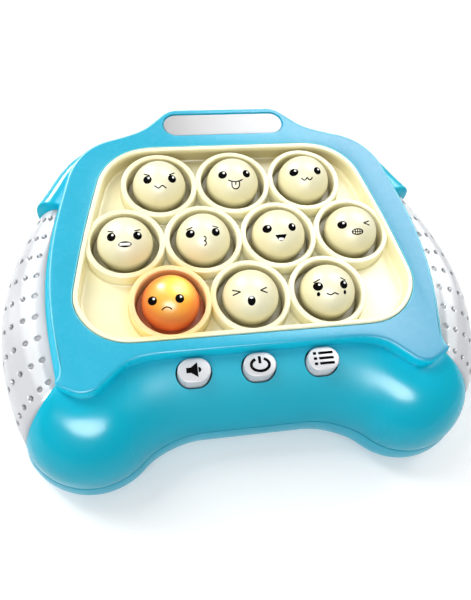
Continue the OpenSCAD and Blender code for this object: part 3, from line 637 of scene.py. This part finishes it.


# The blue is painted deeper low down and lighter on the step wall, as painted shade and light, and greyer at
# the right of the face, as painted shade. A painted highlight runs as a pale line along the rim of the face
# over the lobes and beside the window, and the valley under the buttons is less glossy.
case_tree = case_blue.node_tree
from_middle = reckoned(case_tree, "ABSOLUTE", along_axis(case_tree, "X"))
towards_rear = along_axis(case_tree, "Y")
front_edge_y, corner_y = middle_row_y - face_front, middle_row_y + wave_corner[1]
# Painted highlight: these masks keep a pale line on the rounded rim of the face over the lobes and beside the
# window, and stop it in front of the corners.
over_lobes = between(case_tree, from_middle, 52, 61)
beside_window = between(case_tree, towards_rear, front_edge_y + 3, front_edge_y + 9)
behind_corners = between(case_tree, towards_rear, corner_y + 0.4, corner_y + 1.4)
painted_edge_highlight = ramp(case_tree, level(case_tree, face_z - 1.0, face_z), (
    (0.8, (0, 0, 0)), (0.90, (255, 255, 255)), (0.975, (255, 255, 255)), (0.99, (0, 0, 0))
))
for mask in (reckoned(case_tree, "MAXIMUM", over_lobes, beside_window), behind_corners):
    painted_edge_highlight = reckoned(case_tree, "MULTIPLY", mask, painted_edge_highlight)
# Painted shade: the top of the face turns greyer towards the right.
towards_right = between(case_tree, along_axis(case_tree, "X"), 0, 45)
painted_right_shade = reckoned(case_tree, "MULTIPLY", towards_right, level(case_tree, face_z - 0.3, face_z))
# Painted shade and light by height: the blue is deeper low down and lighter on the step wall.
case_colour = ramp(case_tree, level(case_tree, lower_h, face_z), (
    (0.0, (0, 156, 182)), (0.35, (0, 172, 199)), (0.8, (0, 186, 214)), (0.88, (0, 206, 236)),
    (0.976, (0, 206, 236)), (0.993, (44, 184, 218)),
))
case_colour = mixed(case_tree, painted_right_shade, case_colour, paint(56, 160, 196))
tint(case_blue, mixed(case_tree, painted_edge_highlight, case_colour, paint(130, 224, 242)))
valley_rough = between(case_tree, from_middle, 18, 46, 0.7, 0.22)
case_rough = put(
    case_tree, "ShaderNodeMix", Factor=level(case_tree, foot_z, face_z - 1), A=valley_rough, B=0.27
)
feed(case_tree, case_tree.nodes["Group"].inputs["Roughness"], case_rough.outputs[0])


def rounded(out, z, run, rise, turns):
    """Points (out, height) of a rounded edge at some turns: out + run (1 - cos), z + rise (1 - sin)."""
    return [(out + run * (1 - math.cos(a)), z + rise * (1 - math.sin(a))) for a in turns]


lower_turns = np.radians(np.linspace(90, 12, 6))
face_turns = np.radians(np.linspace(0, 90, 7))
window_turns = np.radians(np.linspace(90, 0, 4))
shell_rows = rows_of(body_loop, rounded(0, lower_h + parting_gap, -lower_edge, lower_edge, lower_turns))
shell_rows += [flank_row(u) for u in row_marks]
near_corner = np.exp(-((right_station - corner_station) / corner_spread) ** 2)
edge_run = face_edge * (1 - corner_thin * near_corner)
shell_rows += rows_of(face_loop, rounded(0, face_z, -edge_run, -edge_run, face_turns))
shell_rows += rows_of(round_loop, [(-face_mid, face_z)])
shell_rows += rows_of(window_loop, rounded(0, face_z, window_edge, -window_edge, window_turns))
shell_rows += rows_of(window_loop, [(0, face_under_z)])
shell_rows += rows_of(round_loop, [(-face_mid, face_under_z), (-wall, face_under_z), (-wall, foot_z - wall)])
for u in np.linspace(0.9, 3, 7):
    a = math.pi / 2 * u / 3
    shell_rows.append(flank_row(u) - wall * np.column_stack([
        body_loop[1] * math.sin(a), np.full(len(stations), math.cos(a))
    ]))
shell_rows = np.array(shell_rows)
upper_shell = add_piece(
    "upper_shell_skin",
    (shell_rows.reshape(-1, 3), loop_faces(len(shell_rows), len(stations), closed=True)),
    case_blue,
)


def pill(width, depth, steps=20):
    """Outline with straight long sides and half-round ends, as points and their normals."""
    a = np.radians(np.concatenate([np.linspace(-90, 90, steps), np.linspace(90, 270, steps)]))
    normal = np.stack([np.cos(a), np.sin(a)], 1)
    shift = np.repeat([(width - depth) / 2, -(width - depth) / 2], steps)
    return normal * depth / 2 + np.column_stack([shift, 0 * shift]), normal


button_size, button_gap = (10.8, 8.2), 0.6
button_places = [middle_of(name) for name in button_names]
plate_size, plate_gap, plate_recess = (46.4, 10.0), 0.4, 1.2
plate_x, plate_y = middle_of("name_plate")
button_hole, plate_hole = (
    pill(size[0] + 2 * gap, size[1] + 2 * gap)
    for size, gap in ((button_size, button_gap), (plate_size, plate_gap))
)
cut(upper_shell, joined(
    [column(button_hole, board_z, face_z + 2, x, y) for x, y in button_places]
    + [column(plate_hole, face_z - plate_recess, face_z + 2, plate_x, plate_y)]
))
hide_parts("upper_shell")

# Bubble tray: one cream moulding that lies in the window, with a raised border and ten rings round the
# bores that guide the bubbles. The rings are rounded at the rim and stand on small fillets.
tray_cream = plastic("tray cream", 0.35, IOR=1.4)
rim_drop, ring_h, tray_floor, ring_wall = 0.5, 5.5, 1.6, 2.0
rim_z = face_z - rim_drop
floor_z = rim_z - ring_h
tray_under_z = floor_z - tray_floor
ring_bore_r = ring_r - ring_wall
tray_gap, tray_border, tray_proud = 0.2, 1.7, 0.4
border_round, floor_fillet, rim_round, ring_fillet = 0.55, 0.9, 0.6, 0.8
tray_top, border_in = face_z + tray_proud, -tray_gap - tray_border
quarter = np.radians(np.linspace(0, 90, 6))
tray_profile = [
    (-tray_gap, tray_under_z),
    *rounded(-tray_gap, tray_top, -border_round, -border_round, quarter),
    *rounded(border_in, tray_top, border_round, -border_round, quarter[::-1]),
    *rounded(border_in, floor_z, -floor_fillet, floor_fillet, quarter),
]
tray_loop = along_outline(window_corners, column_stations)
tray = add_piece("bubble_tray_pan", standing(tray_loop, tray_profile), tray_cream)
bubble_places = [middle_of(name) for name in bubble_names]
ring_middle_r = (ring_bore_r + ring_r) / 2
cut_low_z, cut_high_z = 30, 50
cut(tray, joined([column(circle(ring_middle_r, 64), cut_low_z, cut_high_z, x, y) for x, y in bubble_places]))
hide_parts("bubble_tray")

ring_columns, bore_turns = 128, 6
ring_profile = [
    (ring_bore_r, tray_under_z),
    (ring_r, tray_under_z),
    *rounded(ring_r, floor_z, ring_fillet, ring_fillet, quarter[::-1]),
    *rounded(ring_r, rim_z, -rim_round, -rim_round, quarter),
    *rounded(ring_bore_r, rim_z, rim_round, -rim_round, quarter[::-1]),
]
ring_profile += [(ring_bore_r, z) for z in np.linspace(rim_z - rim_round, tray_under_z, bore_turns + 1)[1:]]
rings = add_piece(
    "tray_rings", joined([revolved(ring_profile, x, y, ring_columns) for x, y in bubble_places]), tray_cream
)


def mark(piece, label, shares):
    """Keeps a share at each point of a piece, for its material."""
    kept = piece.data.attributes.new(label, "FLOAT", "POINT")
    kept.data.foreach_set("value", np.asarray(shares, np.float32))


def marked(tree, label):
    """The share that a piece keeps at its points."""
    return put(tree, "ShaderNodeAttribute", {"attribute_name": label}).outputs["Fac"]


def away_from(tree, spot, low, high):
    """Share from 0 to 1 between two distances from a spot, all in millimetres from the middle row."""
    x, y, z = spot
    away = put(tree, "ShaderNodeVectorMath", {"operation": "DISTANCE"})
    feed(tree, away.inputs[0], put(tree, "ShaderNodeTexCoord").outputs["Object"])
    away.inputs[1].default_value = (x * MM, (y + middle_row_y) * MM, z * MM)
    return between(tree, away.outputs["Value"], low, high)


# The cream is painted darker at the rear, in the bores and at the foot of the rings, and greyer among the
# rings, all as painted shade, and warmer round the lit bubble as painted light.
ring_shade = np.zeros(len(ring_profile))
ring_shade[2:2 + len(quarter)] = (0.1, 0.4, 0.75, 0.75, 0.5, 0.2)
ring_shade[-bore_turns:] = np.minimum(np.arange(1, bore_turns + 1) / 3, 1) / 2
mark(rings, "shade", np.tile(np.repeat(ring_shade, ring_columns), len(bubble_places)))
tray_tree = tray_cream.node_tree
rear_y = middle_row_y + window_rear
rear_shade = reckoned(
    tray_tree, "MULTIPLY", between(tray_tree, along_axis(tray_tree, "Y"), rear_y - 22, rear_y - 2.5),
    level(tray_tree, tray_top - 0.5, rim_z - 1.5),
)
tray_colour = ramp(tray_tree, reckoned(tray_tree, "MAXIMUM", rear_shade, marked(tray_tree, "shade")), (
    (0.0, (254, 249, 212)), (0.45, (232, 224, 180)), (1.0, (200, 190, 144))
))
lit = bubble_names.index("bubble_8")
painted_lamp_glow = away_from(tray_tree, (*bubble_places[lit], rim_z), 18.5, 13.5)
among_rings = away_from(tray_tree, (0, 0, floor_z), 42, 30)
foot_shade = reckoned(tray_tree, "MULTIPLY", among_rings, level(tray_tree, floor_z + 3, floor_z + 0.7))
for share, colour in ((painted_lamp_glow, (255, 238, 196)), (foot_shade, (238, 242, 255))):
    tray_colour = mixed(tray_tree, share, tray_colour, paint(*colour), "MULTIPLY")
tint(tray_cream, tray_colour)

# Bubbles: hollow balls of translucent ivory plastic, each with a skirt that slides in its ring and a lip
# that holds it under the tray. The one over the lit lamp glows orange.
ivory = plastic("bubble ivory", 0.42, IOR=1.4)
ball_z, ball_r, ball_wall = 41.0, 9.55, 1.4
skirt_r, lip_r, lip_top_z, lip_z, skirt_bevel, bore_lap = 11.35, 12.9, 35.55, 34.35, 0.3, 0.2
hollow_r = ball_r - ball_wall
ball_top = ball_z + ball_r
# Painted shade: the ivory is painted darker on the skirt and the lower half of the ball, and lightest at the
# top.
tint(ivory, ramp(ivory.node_tree, level(ivory.node_tree, floor_z, ball_top), (
    (0.0, (168, 161, 122)), (0.12, (152, 145, 108)), (0.28, (190, 182, 140)), (0.45, (244, 236, 190)),
    (1.0, (252, 247, 212)),
)))


def ball_points(radius, start, end, steps):
    """Points (radius, height) of a ball's section, between two angles from its top."""
    return [(radius * math.sin(a), ball_z + radius * math.cos(a)) for a in np.linspace(start, end, steps)]


skirt_turn = math.acos((floor_z - ball_z) / ball_r)
hollow_turn = math.pi - math.asin((hollow_r - bore_lap) / hollow_r)
bubble_profile = [
    (0.0, ball_top),
    *ball_points(ball_r, 0, skirt_turn, 36)[1:],
    (skirt_r - skirt_bevel, floor_z),
    (skirt_r, floor_z - skirt_bevel),
    (skirt_r, lip_top_z),
    (lip_r, lip_top_z),
    (lip_r, lip_z),
    (hollow_r - bore_lap, lip_z),
    *ball_points(hollow_r, hollow_turn, 0, 24)[:-1],
    (0.0, ball_z + hollow_r),
]

glow = plastic("bubble glowing orange", 0.34, IOR=1.4)
glow_tree = glow.node_tree
# Painted shade: the orange is painted deeper and redder low down on the ball and golden at the top.
tint(glow, ramp(glow_tree, level(glow_tree, floor_z, ball_top), (
    (0.0, (196, 112, 62)), (0.12, (198, 92, 44)), (0.3, (236, 108, 52)), (0.65, (238, 132, 50)),
    (0.85, (250, 178, 54)), (1.0, (255, 200, 70)),
)))
lit_x, lit_y = bubble_places[lit]
glow_shader = glow_tree.nodes["Principled BSDF"]
# Painted light: the ball's glow is a painted hot spot near its top, to the right and rear of its middle,
# fading out over 12 mm.
feed(glow_tree, glow_shader.inputs["Emission Color"], ramp(
    glow_tree, away_from(glow_tree, (lit_x + 3.5, lit_y + 3.0, ball_z + 8.4), 0, 12),
    ((0.0, (255, 236, 170)), (0.25, (255, 190, 70)), (0.6, (150, 70, 14)), (1.0, (20, 4, 0))),
))
glow_shader.inputs["Emission Strength"].default_value = 0.8
for k, (x, y) in enumerate(bubble_places):
    name = bubble_names[k]
    ball = add_piece(
        f"{name}_ball", revolved(bubble_profile[::-1], x, y, 96), glow if k == lit else ivory, body=name
    )
    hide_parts(name)

# Faces on the bubbles: plain emoticons pad-printed in black on the balls, turned a little towards the
# player. Each is a few strokes and filled rounds, a thin film of ink on the sphere.
ink = plastic("black print", 0.6, ((12, 11, 11), (7, 6, 6)), IOR=1.05)
glint_white = plastic("white print", 0.35, ((250, 250, 248), (244, 244, 240)))
face_tilt = math.radians(21)
film, print_crease = 0.04, 60


def grid_faces(m, n):
    """Quads of an open grid of m by n points."""
    r, c = np.arange(m - 1)[:, None], np.arange(n - 1)[None, :]
    return np.stack([r * n + c, r * n + c + 1, (r + 1) * n + c + 1, (r + 1) * n + c], -1).reshape(-1, 4)


def stroke(path, width):
    """Ribbon of one width along a path of points: the path moved to both sides along its normals."""
    path = np.asarray(path, float)
    run = np.gradient(path, axis=0)
    side = np.column_stack([-run[:, 1], run[:, 0]]) / np.linalg.norm(run, axis=1)[:, None]
    across = np.linspace(-0.5, 0.5, 3)[:, None, None] * width
    grid = path[None] + side[None] * across
    return grid.reshape(-1, 2), grid_faces(*grid.shape[:2]).tolist()


def filled(outline):
    """Filled round: rings of points that shrink from the outline to its middle."""
    outline = np.asarray(outline, float)
    middle = outline.mean(0)
    shares = np.linspace(1, 0.25, 4)[:, None, None]
    grid = middle + (outline - middle)[None] * shares
    m, n = grid.shape[:2]
    last = (m - 1) * n + np.arange(n)
    fan = np.column_stack([last, np.roll(last, -1), np.full(n, m * n)])
    return np.vstack([grid.reshape(-1, 2), middle]), loop_faces(m, n) + fan.tolist()


def oval(x, y, width, height, steps=24):
    """Closed outline of an oval."""
    a = np.linspace(0, 2 * np.pi, steps, endpoint=False)
    return np.column_stack([x + width / 2 * np.cos(a), y + height / 2 * np.sin(a)])


def bend(x, y, width, depth, steps=13):
    """Open curve of a parabola: a smile for a positive depth, a frown for a negative one."""
    t = np.linspace(-1, 1, steps)
    return np.column_stack([x + width / 2 * t, y - depth * (1 - t * t)])


def wave(x, y, width, height, periods, steps=25):
    """Open curve of a sine wave."""
    t = np.linspace(-1, 1, steps)
    return np.column_stack([x + width / 2 * t, y + height * np.sin(np.pi * periods * t)])


def line(x0, y0, x1, y1, steps=7):
    """Straight open line."""
    t = np.linspace(0, 1, steps)[:, None]
    return np.array([x0, y0]) * (1 - t) + np.array([x1, y1]) * t


eye_x, eye_y, eye_d, pen = 4.3, 1.6, 2.9, 0.42
glint_out, glint_up, glint_d = 0.45, 0.55, 0.8
brow_out, brow_in, brow_y = 5.4, 3.4, eye_y + 1.9


def dot_eyes(sides=(-1, 1)):
    """Round eyes."""
    return [filled(oval(s * eye_x, eye_y, eye_d, eye_d)) for s in sides]


def glints(sides=(-1, 1)):
    """Small bright spots on the eyes."""
    return [filled(oval(s * eye_x + glint_out, eye_y + glint_up, glint_d, glint_d, 12)) for s in sides]


def brows(slant):
    """Short strokes over the eyes, that fall to the nose for a positive slant."""
    return [stroke(line(s * brow_out, brow_y + slant, s * brow_in, brow_y - slant), pen) for s in (-1, 1)]


mouth_y, tongue_w, tooth_pen = -1.3, 2.7, 0.3
tongue_y = mouth_y - 1.2
tongue = np.vstack([
    line(-tongue_w / 2, mouth_y, -tongue_w / 2, tongue_y),
    arc((0, tongue_y), tongue_w / 2, 190, 350, 10),
    line(tongue_w / 2, tongue_y, tongue_w / 2, mouth_y),
])
tongue_out = (bend(0, mouth_y + 0.7, 5.2, 0.8), tongue, line(0, mouth_y, 0, tongue_y))
laugh_y = mouth_y + 0.4
laugh = np.vstack([line(2, laugh_y, -2, laugh_y), bend(0, laugh_y, 4, 2.2)[1:-1]])
grin_x, grin_y, grin_w, grin_h = 0.5, mouth_y - 0.1, 3.8, 1.9
grin = oval(grin_x, grin_y, grin_w, grin_h)
teeth = [line(grin_x - 1.8, grin_y, grin_x + 1.8, grin_y)]
teeth += [line(u, grin_y - 0.8, u, grin_y + 0.8) for u in (grin_x - 0.8, grin_x, grin_x + 0.8)]
print_black = [
    dot_eyes() + brows(0.5) + [stroke(wave(0, mouth_y, 4.2, 0.4, 1.5), pen)],
    dot_eyes() + [stroke(path, pen) for path in tongue_out],
    dot_eyes() + [stroke(bend(s * 1.0, mouth_y + 0.4, 2.0, 0.9), pen) for s in (-1, 1)],
    dot_eyes() + brows(0.3) + [filled(oval(0, mouth_y, 4.4, 2.0))],
    dot_eyes() + brows(-0.3) + [stroke(arc((0, mouth_y + s * 0.75), 0.75, 90, -90, 9), pen) for s in (-1, 1)],
    dot_eyes() + [filled(laugh)],
    dot_eyes((-1,)) + [stroke(line(eye_x + 1.2, eye_y + d, eye_x - 1.2, eye_y), pen) for d in (-0.8, 0.8)]
    + [stroke(np.vstack([grin, grin[:1]]), pen)] + [stroke(path, tooth_pen) for path in teeth],
    dot_eyes() + [stroke(bend(0, mouth_y - 0.4, 3.2, -0.9), pen)],
    [stroke(line(s * 5.6, eye_y + d, s * 3.2, eye_y), pen) for s in (-1, 1) for d in (-0.9, 0.9)]
    + [filled(oval(0, mouth_y - 0.3, 2.6, 3.2))],
    dot_eyes() + brows(-0.5) + [stroke(wave(0, mouth_y, 4.0, 0.25, 1.5), pen)]
    + [filled(oval(s * 4.4, -1.0, 1.0, 1.5, 16)) for s in (-1, 1)],
]
print_white = [
    glints(), glints(), glints(),
    glints() + [stroke(line(-1.8, mouth_y, 1.8, mouth_y), 0.9)],
    glints(), glints() + [filled(oval(0, mouth_y - 1.15, 1.9, 0.9, 16))],
    glints((-1,)), glints(), [filled(oval(0, mouth_y + 0.7, 1.3, 0.7, 16))], glints(),
]
face_shifts = [
    (0, -0.8), (-0.3, 0), (-0.9, 0), (0, 0), (-0.8, -0.3), (-1.1, 0), (-1.0, 0),
    (-1.8, -0.8), (-1.4, 0), (-1.0, 0),
]


def on_ball(prints, x, y, lift, shift):
    """Lays flat prints on a ball: (u, v) millimetres from the face's middle, moved by a shift, go straight
    back on to the sphere, whose middle of the face is turned towards the player."""
    points, faces = joined(prints)
    points = points + shift
    reach = ball_r + lift
    depth = np.sqrt(reach ** 2 - points[:, 0] ** 2 - points[:, 1] ** 2)
    up = points[:, 1] * math.cos(face_tilt) - depth * math.sin(face_tilt)
    height = points[:, 1] * math.sin(face_tilt) + depth * math.cos(face_tilt)
    return np.column_stack([x + points[:, 0], y + up, ball_z + height]), faces


def film_of(piece, thickness):
    """Gives a sheet of print its thickness, inwards from its face."""
    solid = piece.modifiers.new("film", "SOLIDIFY")
    solid.thickness = thickness * MM
    solid.offset = -1


for k, (x, y) in enumerate(bubble_places):
    for label, prints, material, lift in (
        ("print", print_black[k], ink, 0.6 * film), ("glint", print_white[k], glint_white, film)
    ):
        face_print = add_piece(
            f"{bubble_names[k]}_{label}", on_ball(prints, x, y, lift, face_shifts[k]), material,
            bubble_names[k], print_crease,
        )
        film_of(face_print, 2 * film)

# Buttons: three light grey caps with bevelled tops, which rise through the sloping front. Their black
# signs for sound, power and choice of game are printed on top.
button_grey = plastic("button grey", 0.3, ((214, 214, 217), (205, 205, 209)))
button_low_z, button_top_z = (v.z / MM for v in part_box("power_button"))
button_loop = pill(*button_size)
flange_w, flange_t, bevel, bevel_start = 0.9, 1.0, 0.5, 1.2
flange_z = button_low_z + flange_t
button_rows = [
    (flange_w, button_low_z), (flange_w, flange_z), (0.0, flange_z), (0.0, button_top_z - bevel_start),
    *rounded(0, button_top_z - film, -bevel, -bevel, quarter),
]


def sign_film(name, prints, x, y, body):
    """Printed sign on a button's flat top."""
    points, faces = joined(prints)
    flat = np.column_stack([x + points[:, 0], y + points[:, 1], np.full(len(points), button_top_z)])
    sign = add_piece(name, (flat, faces), ink, body, print_crease)
    film_of(sign, 2 * film)


speaker_sign = [
    filled([(-2.6, -0.9), (-1.1, -0.9), (-1.1, 0.9), (-2.6, 0.9)]),
    filled([(-1.3, -0.8), (1.1, -2.5), (1.1, 2.5), (-1.3, 0.8)]),
    filled(arc((1.3, 0), 0.95, -90, 90, 8)),
]
sign_pen, dash_pen = 0.95, 0.9
power_ring = arc((0, 0), 2.4, 118, 422, 40) * [1.25, 0.9] - [0, 0.2]
power_sign = [stroke(power_ring, sign_pen), stroke(line(0, 0.2, 0, 2.7), sign_pen)]
list_sign = [
    stroke(line(start, v, end, v), dash_pen)
    for start, end in ((-3.4, -2.3), (-1.6, 3.4)) for v in (-1.7, 0.1, 1.9)
]
for name, sign, (x, y) in zip(button_names, (speaker_sign, power_sign, list_sign), button_places):
    cap = add_piece(f"{name}_cap", standing(button_loop, button_rows, x, y), button_grey, body=name)
    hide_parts(name)
    sign_film(f"{name}_sign", sign, x, y, name)

# Name plate: a bare silver pill of thin metallized plastic with a bevelled edge, glued into its recess
# behind the window.
silver = plastic("plate silver", 0.4, bump=0.04, IOR=1.15)
silver_tree = silver.node_tree
# Painted shading: the silver is painted darker at the left end of the plate and lighter at the right.
tint(silver, ramp(silver_tree, between(silver_tree, along_axis(silver_tree, "X"), -23, 23), (
    (0.0, (188, 187, 188)), (0.25, (212, 212, 213)), (0.75, (238, 239, 241)), (1.0, (244, 245, 247))
)))
plate_low, plate_high = (v.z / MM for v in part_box("name_plate"))
plate_loop = pill(*plate_size, steps=28)
plate_bevel = 0.5
plate_rows = [(0, plate_low), (0, plate_high - plate_bevel)]
plate_rows += rounded(0, plate_high, -plate_bevel, -plate_bevel, quarter)
plate = add_piece("name_plate_pill", standing(plate_loop, plate_rows, plate_x, plate_y), silver)
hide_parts("name_plate")

# Grips: bulging side pieces of white plastic, pegged into the seats of the upper shell, with rows of
# small round dimples for a sure hold.
grip_white = plastic("grip white", 0.22)
grip_tree = grip_white.node_tree
# Painted light and shade: across each grip, painted shade beside its upper edge, then a painted highlight
# band, then a greyer lower side.
grip_painted_band = ramp(grip_tree, marked(grip_tree, "across"), (
    (0.0, (158, 159, 163)), (0.05, (190, 191, 195)), (0.075, (236, 237, 239)), (0.15, (236, 237, 239)),
    (0.2, (212, 213, 217)), (1.0, (204, 205, 209)),
))
# Painted shade: each dimple is painted darker towards its bottom.
dimple_shade = ramp(grip_tree, marked(grip_tree, "hollow"), (
    (0.0, (255, 255, 255)), (0.35, (184, 185, 187)), (1.0, (104, 105, 108))
))
tint(grip_white, mixed(grip_tree, 1.0, grip_painted_band, dimple_shade, "MULTIPLY"))
grip_bulge, grip_front_bulge, grip_rear_bulge, grip_wall = 10.0, 0.4, 4.6, 2.2
edge_gap, end_gap, seat_gap = 0.008, 0.03, 0.2
grip_front, grip_end = grip_start + end_gap, sleeve_edge - end_gap
dimple_r, dimple_depth = 1.0, 0.85
dimple_rows = np.array([0.06, 0.16, 0.29, 0.42, 0.55, 0.68])
dimple_columns = np.linspace(0.05, 0.95, 9)


def grip_surface(along, t, inside=0.0):
    """Outer skin of the right grip: along runs from its front to its rear end, t from its upper to its lower
    edge, and it stands out of the flank by a bulge that is full in the middle, end + (full - end) sin^0.7,
    and round across, sin^0.75."""
    station = grip_front + (grip_end - grip_front) * along
    end = grip_front_bulge + (grip_rear_bulge - grip_front_bulge) * along
    middle = np.sin(np.pi * np.clip(along, 0, 1)) ** 0.7
    across = np.sin(np.pi * np.clip(t, 0, 1)) ** 0.75
    out = (end + (grip_bulge - end) * middle) * across
    out = np.where(inside > 0, np.maximum(out - inside, seat_gap - grip_seat), out)
    face, body = along_outline(face_corners, station), along_outline(body_corners, station)
    top = seat_top(face, body) + edge_gap
    return flank_point(face, body, top + (seat_low - edge_gap - top) * t, out)


grip_along, grip_t = np.meshgrid(np.linspace(0, 1, 260), np.linspace(0, 1, 150), indexing="ij")
grip_skin = grip_surface(grip_along, grip_t)
spot_along, spot_t = np.meshgrid(dimple_columns, dimple_rows, indexing="ij")
spots = grip_surface(spot_along, spot_t).reshape(-1, 3)
nearest = np.full(grip_along.shape, 1e9)
for spot in spots:
    nearest = np.minimum(nearest, np.linalg.norm(grip_skin - spot, axis=-1))
along_run = np.gradient(grip_skin, axis=0)
across_run = np.gradient(grip_skin, axis=1)
grip_normal = np.cross(across_run, along_run)
grip_normal /= np.maximum(np.linalg.norm(grip_normal, axis=-1, keepdims=True), 1e-12)
dip = dimple_depth * np.clip(1 - (nearest / dimple_r) ** 2, 0, 1) ** 0.6
grip_skin = grip_skin - grip_normal * dip[..., None]
grip_back = grip_surface(grip_along, grip_t, grip_wall)


def sheet_solid(front, back):
    """Closed solid between two sheets of points, joined round their edges."""
    m, n = front.shape[:2]
    quads = grid_faces(m, n)
    border = np.concatenate([
        np.arange(n - 1), np.arange(m - 1) * n + n - 1,
        (m - 1) * n + np.arange(n - 1, 0, -1), np.arange(m - 1, 0, -1) * n,
    ])
    on = np.roll(border, -1)
    rim = np.stack([on, border, border + m * n, on + m * n], -1)
    faces = np.vstack([quads, quads[:, ::-1] + m * n, rim])
    return np.vstack([front.reshape(-1, 3), back.reshape(-1, 3)]), faces


grip_points, grip_faces = sheet_solid(grip_skin, grip_back)
for name, side in (("left_grip", -1), ("right_grip", 1)):
    faces = grip_faces if side > 0 else grip_faces[:, ::-1]
    grip = add_piece(f"{name}_skin", (grip_points * [side, 1, 1], faces.tolist()), grip_white, crease=50)
    for label, front in (("hollow", dip / dimple_depth), ("across", grip_t)):
        mark(grip, label, np.concatenate([front.ravel(), np.zeros(dip.size)]))
    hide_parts(name)

# Studio: a pale floor, soft light from above and from the sides, and a camera a little left of the
# player, looking down at the face.
floor_mesh = bpy.data.meshes.new("studio_floor")
floor_reach = 6.0
floor_corners = [(x * floor_reach, y * floor_reach, 0) for x, y in ((-1, -1), (1, -1), (1, 1), (-1, 1))]
floor_mesh.from_pydata(floor_corners, [], [[0, 1, 2, 3]])
floor = bpy.data.objects.new("studio_floor", floor_mesh)
bpy.context.scene.collection.objects.link(floor)
pale = plastic(
    "pale floor", 0.8, ((252, 252, 252), (250, 250, 250)), Emission_Color=(1, 1, 1, 1), Emission_Strength=0.1
)
floor_mesh.materials.append(pale)

world = bpy.data.worlds.new("studio")
bpy.context.scene.world = world
world.use_nodes = True
sky = world.node_tree.nodes["Background"]
sky.inputs["Color"].default_value = (1, 1, 1, 1)
sky.inputs["Strength"].default_value = 0.5
aim = Vector((0, 0, 0.04))


def softbox(name, place, width, depth, power, card=False):
    """Area light at a place, turned to the game, with its size in metres and its power in watts. A card
    shows only in what is glossy."""
    data = bpy.data.lights.new(name, "AREA")
    data.shape = "RECTANGLE"
    data.size, data.size_y, data.energy = width, depth, power
    light = bpy.data.objects.new(name, data)
    bpy.context.scene.collection.objects.link(light)
    light.location = place
    light.rotation_euler = (aim - Vector(place)).to_track_quat("-Z", "Y").to_euler()
    light.visible_diffuse = not card
    return light


softbox("key", (-0.45, 0.42, 0.74), 0.2, 0.6, 4.0)
softbox("rear left card", (-0.36, 0.62, 0.40), 0.12, 0.25, 13.0, card=True)
fill = softbox("front fill", (-0.30, -0.60, 0.60), 0.6, 0.6, 1.6)
fill.visible_glossy = False
softbox("left edge light", (-0.75, 0.36, 0.36), 0.15, 0.5, 1.0)
softbox("right light", (0.75, 0.40, 0.36), 0.3, 0.4, 2.4)
front_card = softbox("front card", (-0.12, -0.43, 0.69), 0.6, 0.36, 22.0, card=True)
front_card.data.shape = "ELLIPSE"
softbox("rear right card", (0.50, 0.47, 0.76), 0.45, 0.6, 16.0, card=True)
softbox("rear card", (0.25, 0.66, 0.74), 0.25, 0.3, 5.0, card=True)

bpy.context.scene.view_settings.view_transform = "Standard"
camera_data = bpy.data.cameras.new("camera")
camera = bpy.data.objects.new("camera", camera_data)
bpy.context.scene.collection.objects.link(camera)
camera_data.sensor_fit = "VERTICAL"
camera_data.sensor_height = 36
camera_data.lens = 36
camera_place, camera_turns = (-37.90, -100.75, 222.36), (25.685, -6.629, -7.754)
camera.location = Vector(camera_place) * MM
camera.rotation_euler = [math.radians(turn) for turn in camera_turns]
camera_data.clip_start = 0.005
bpy.context.scene.camera = camera
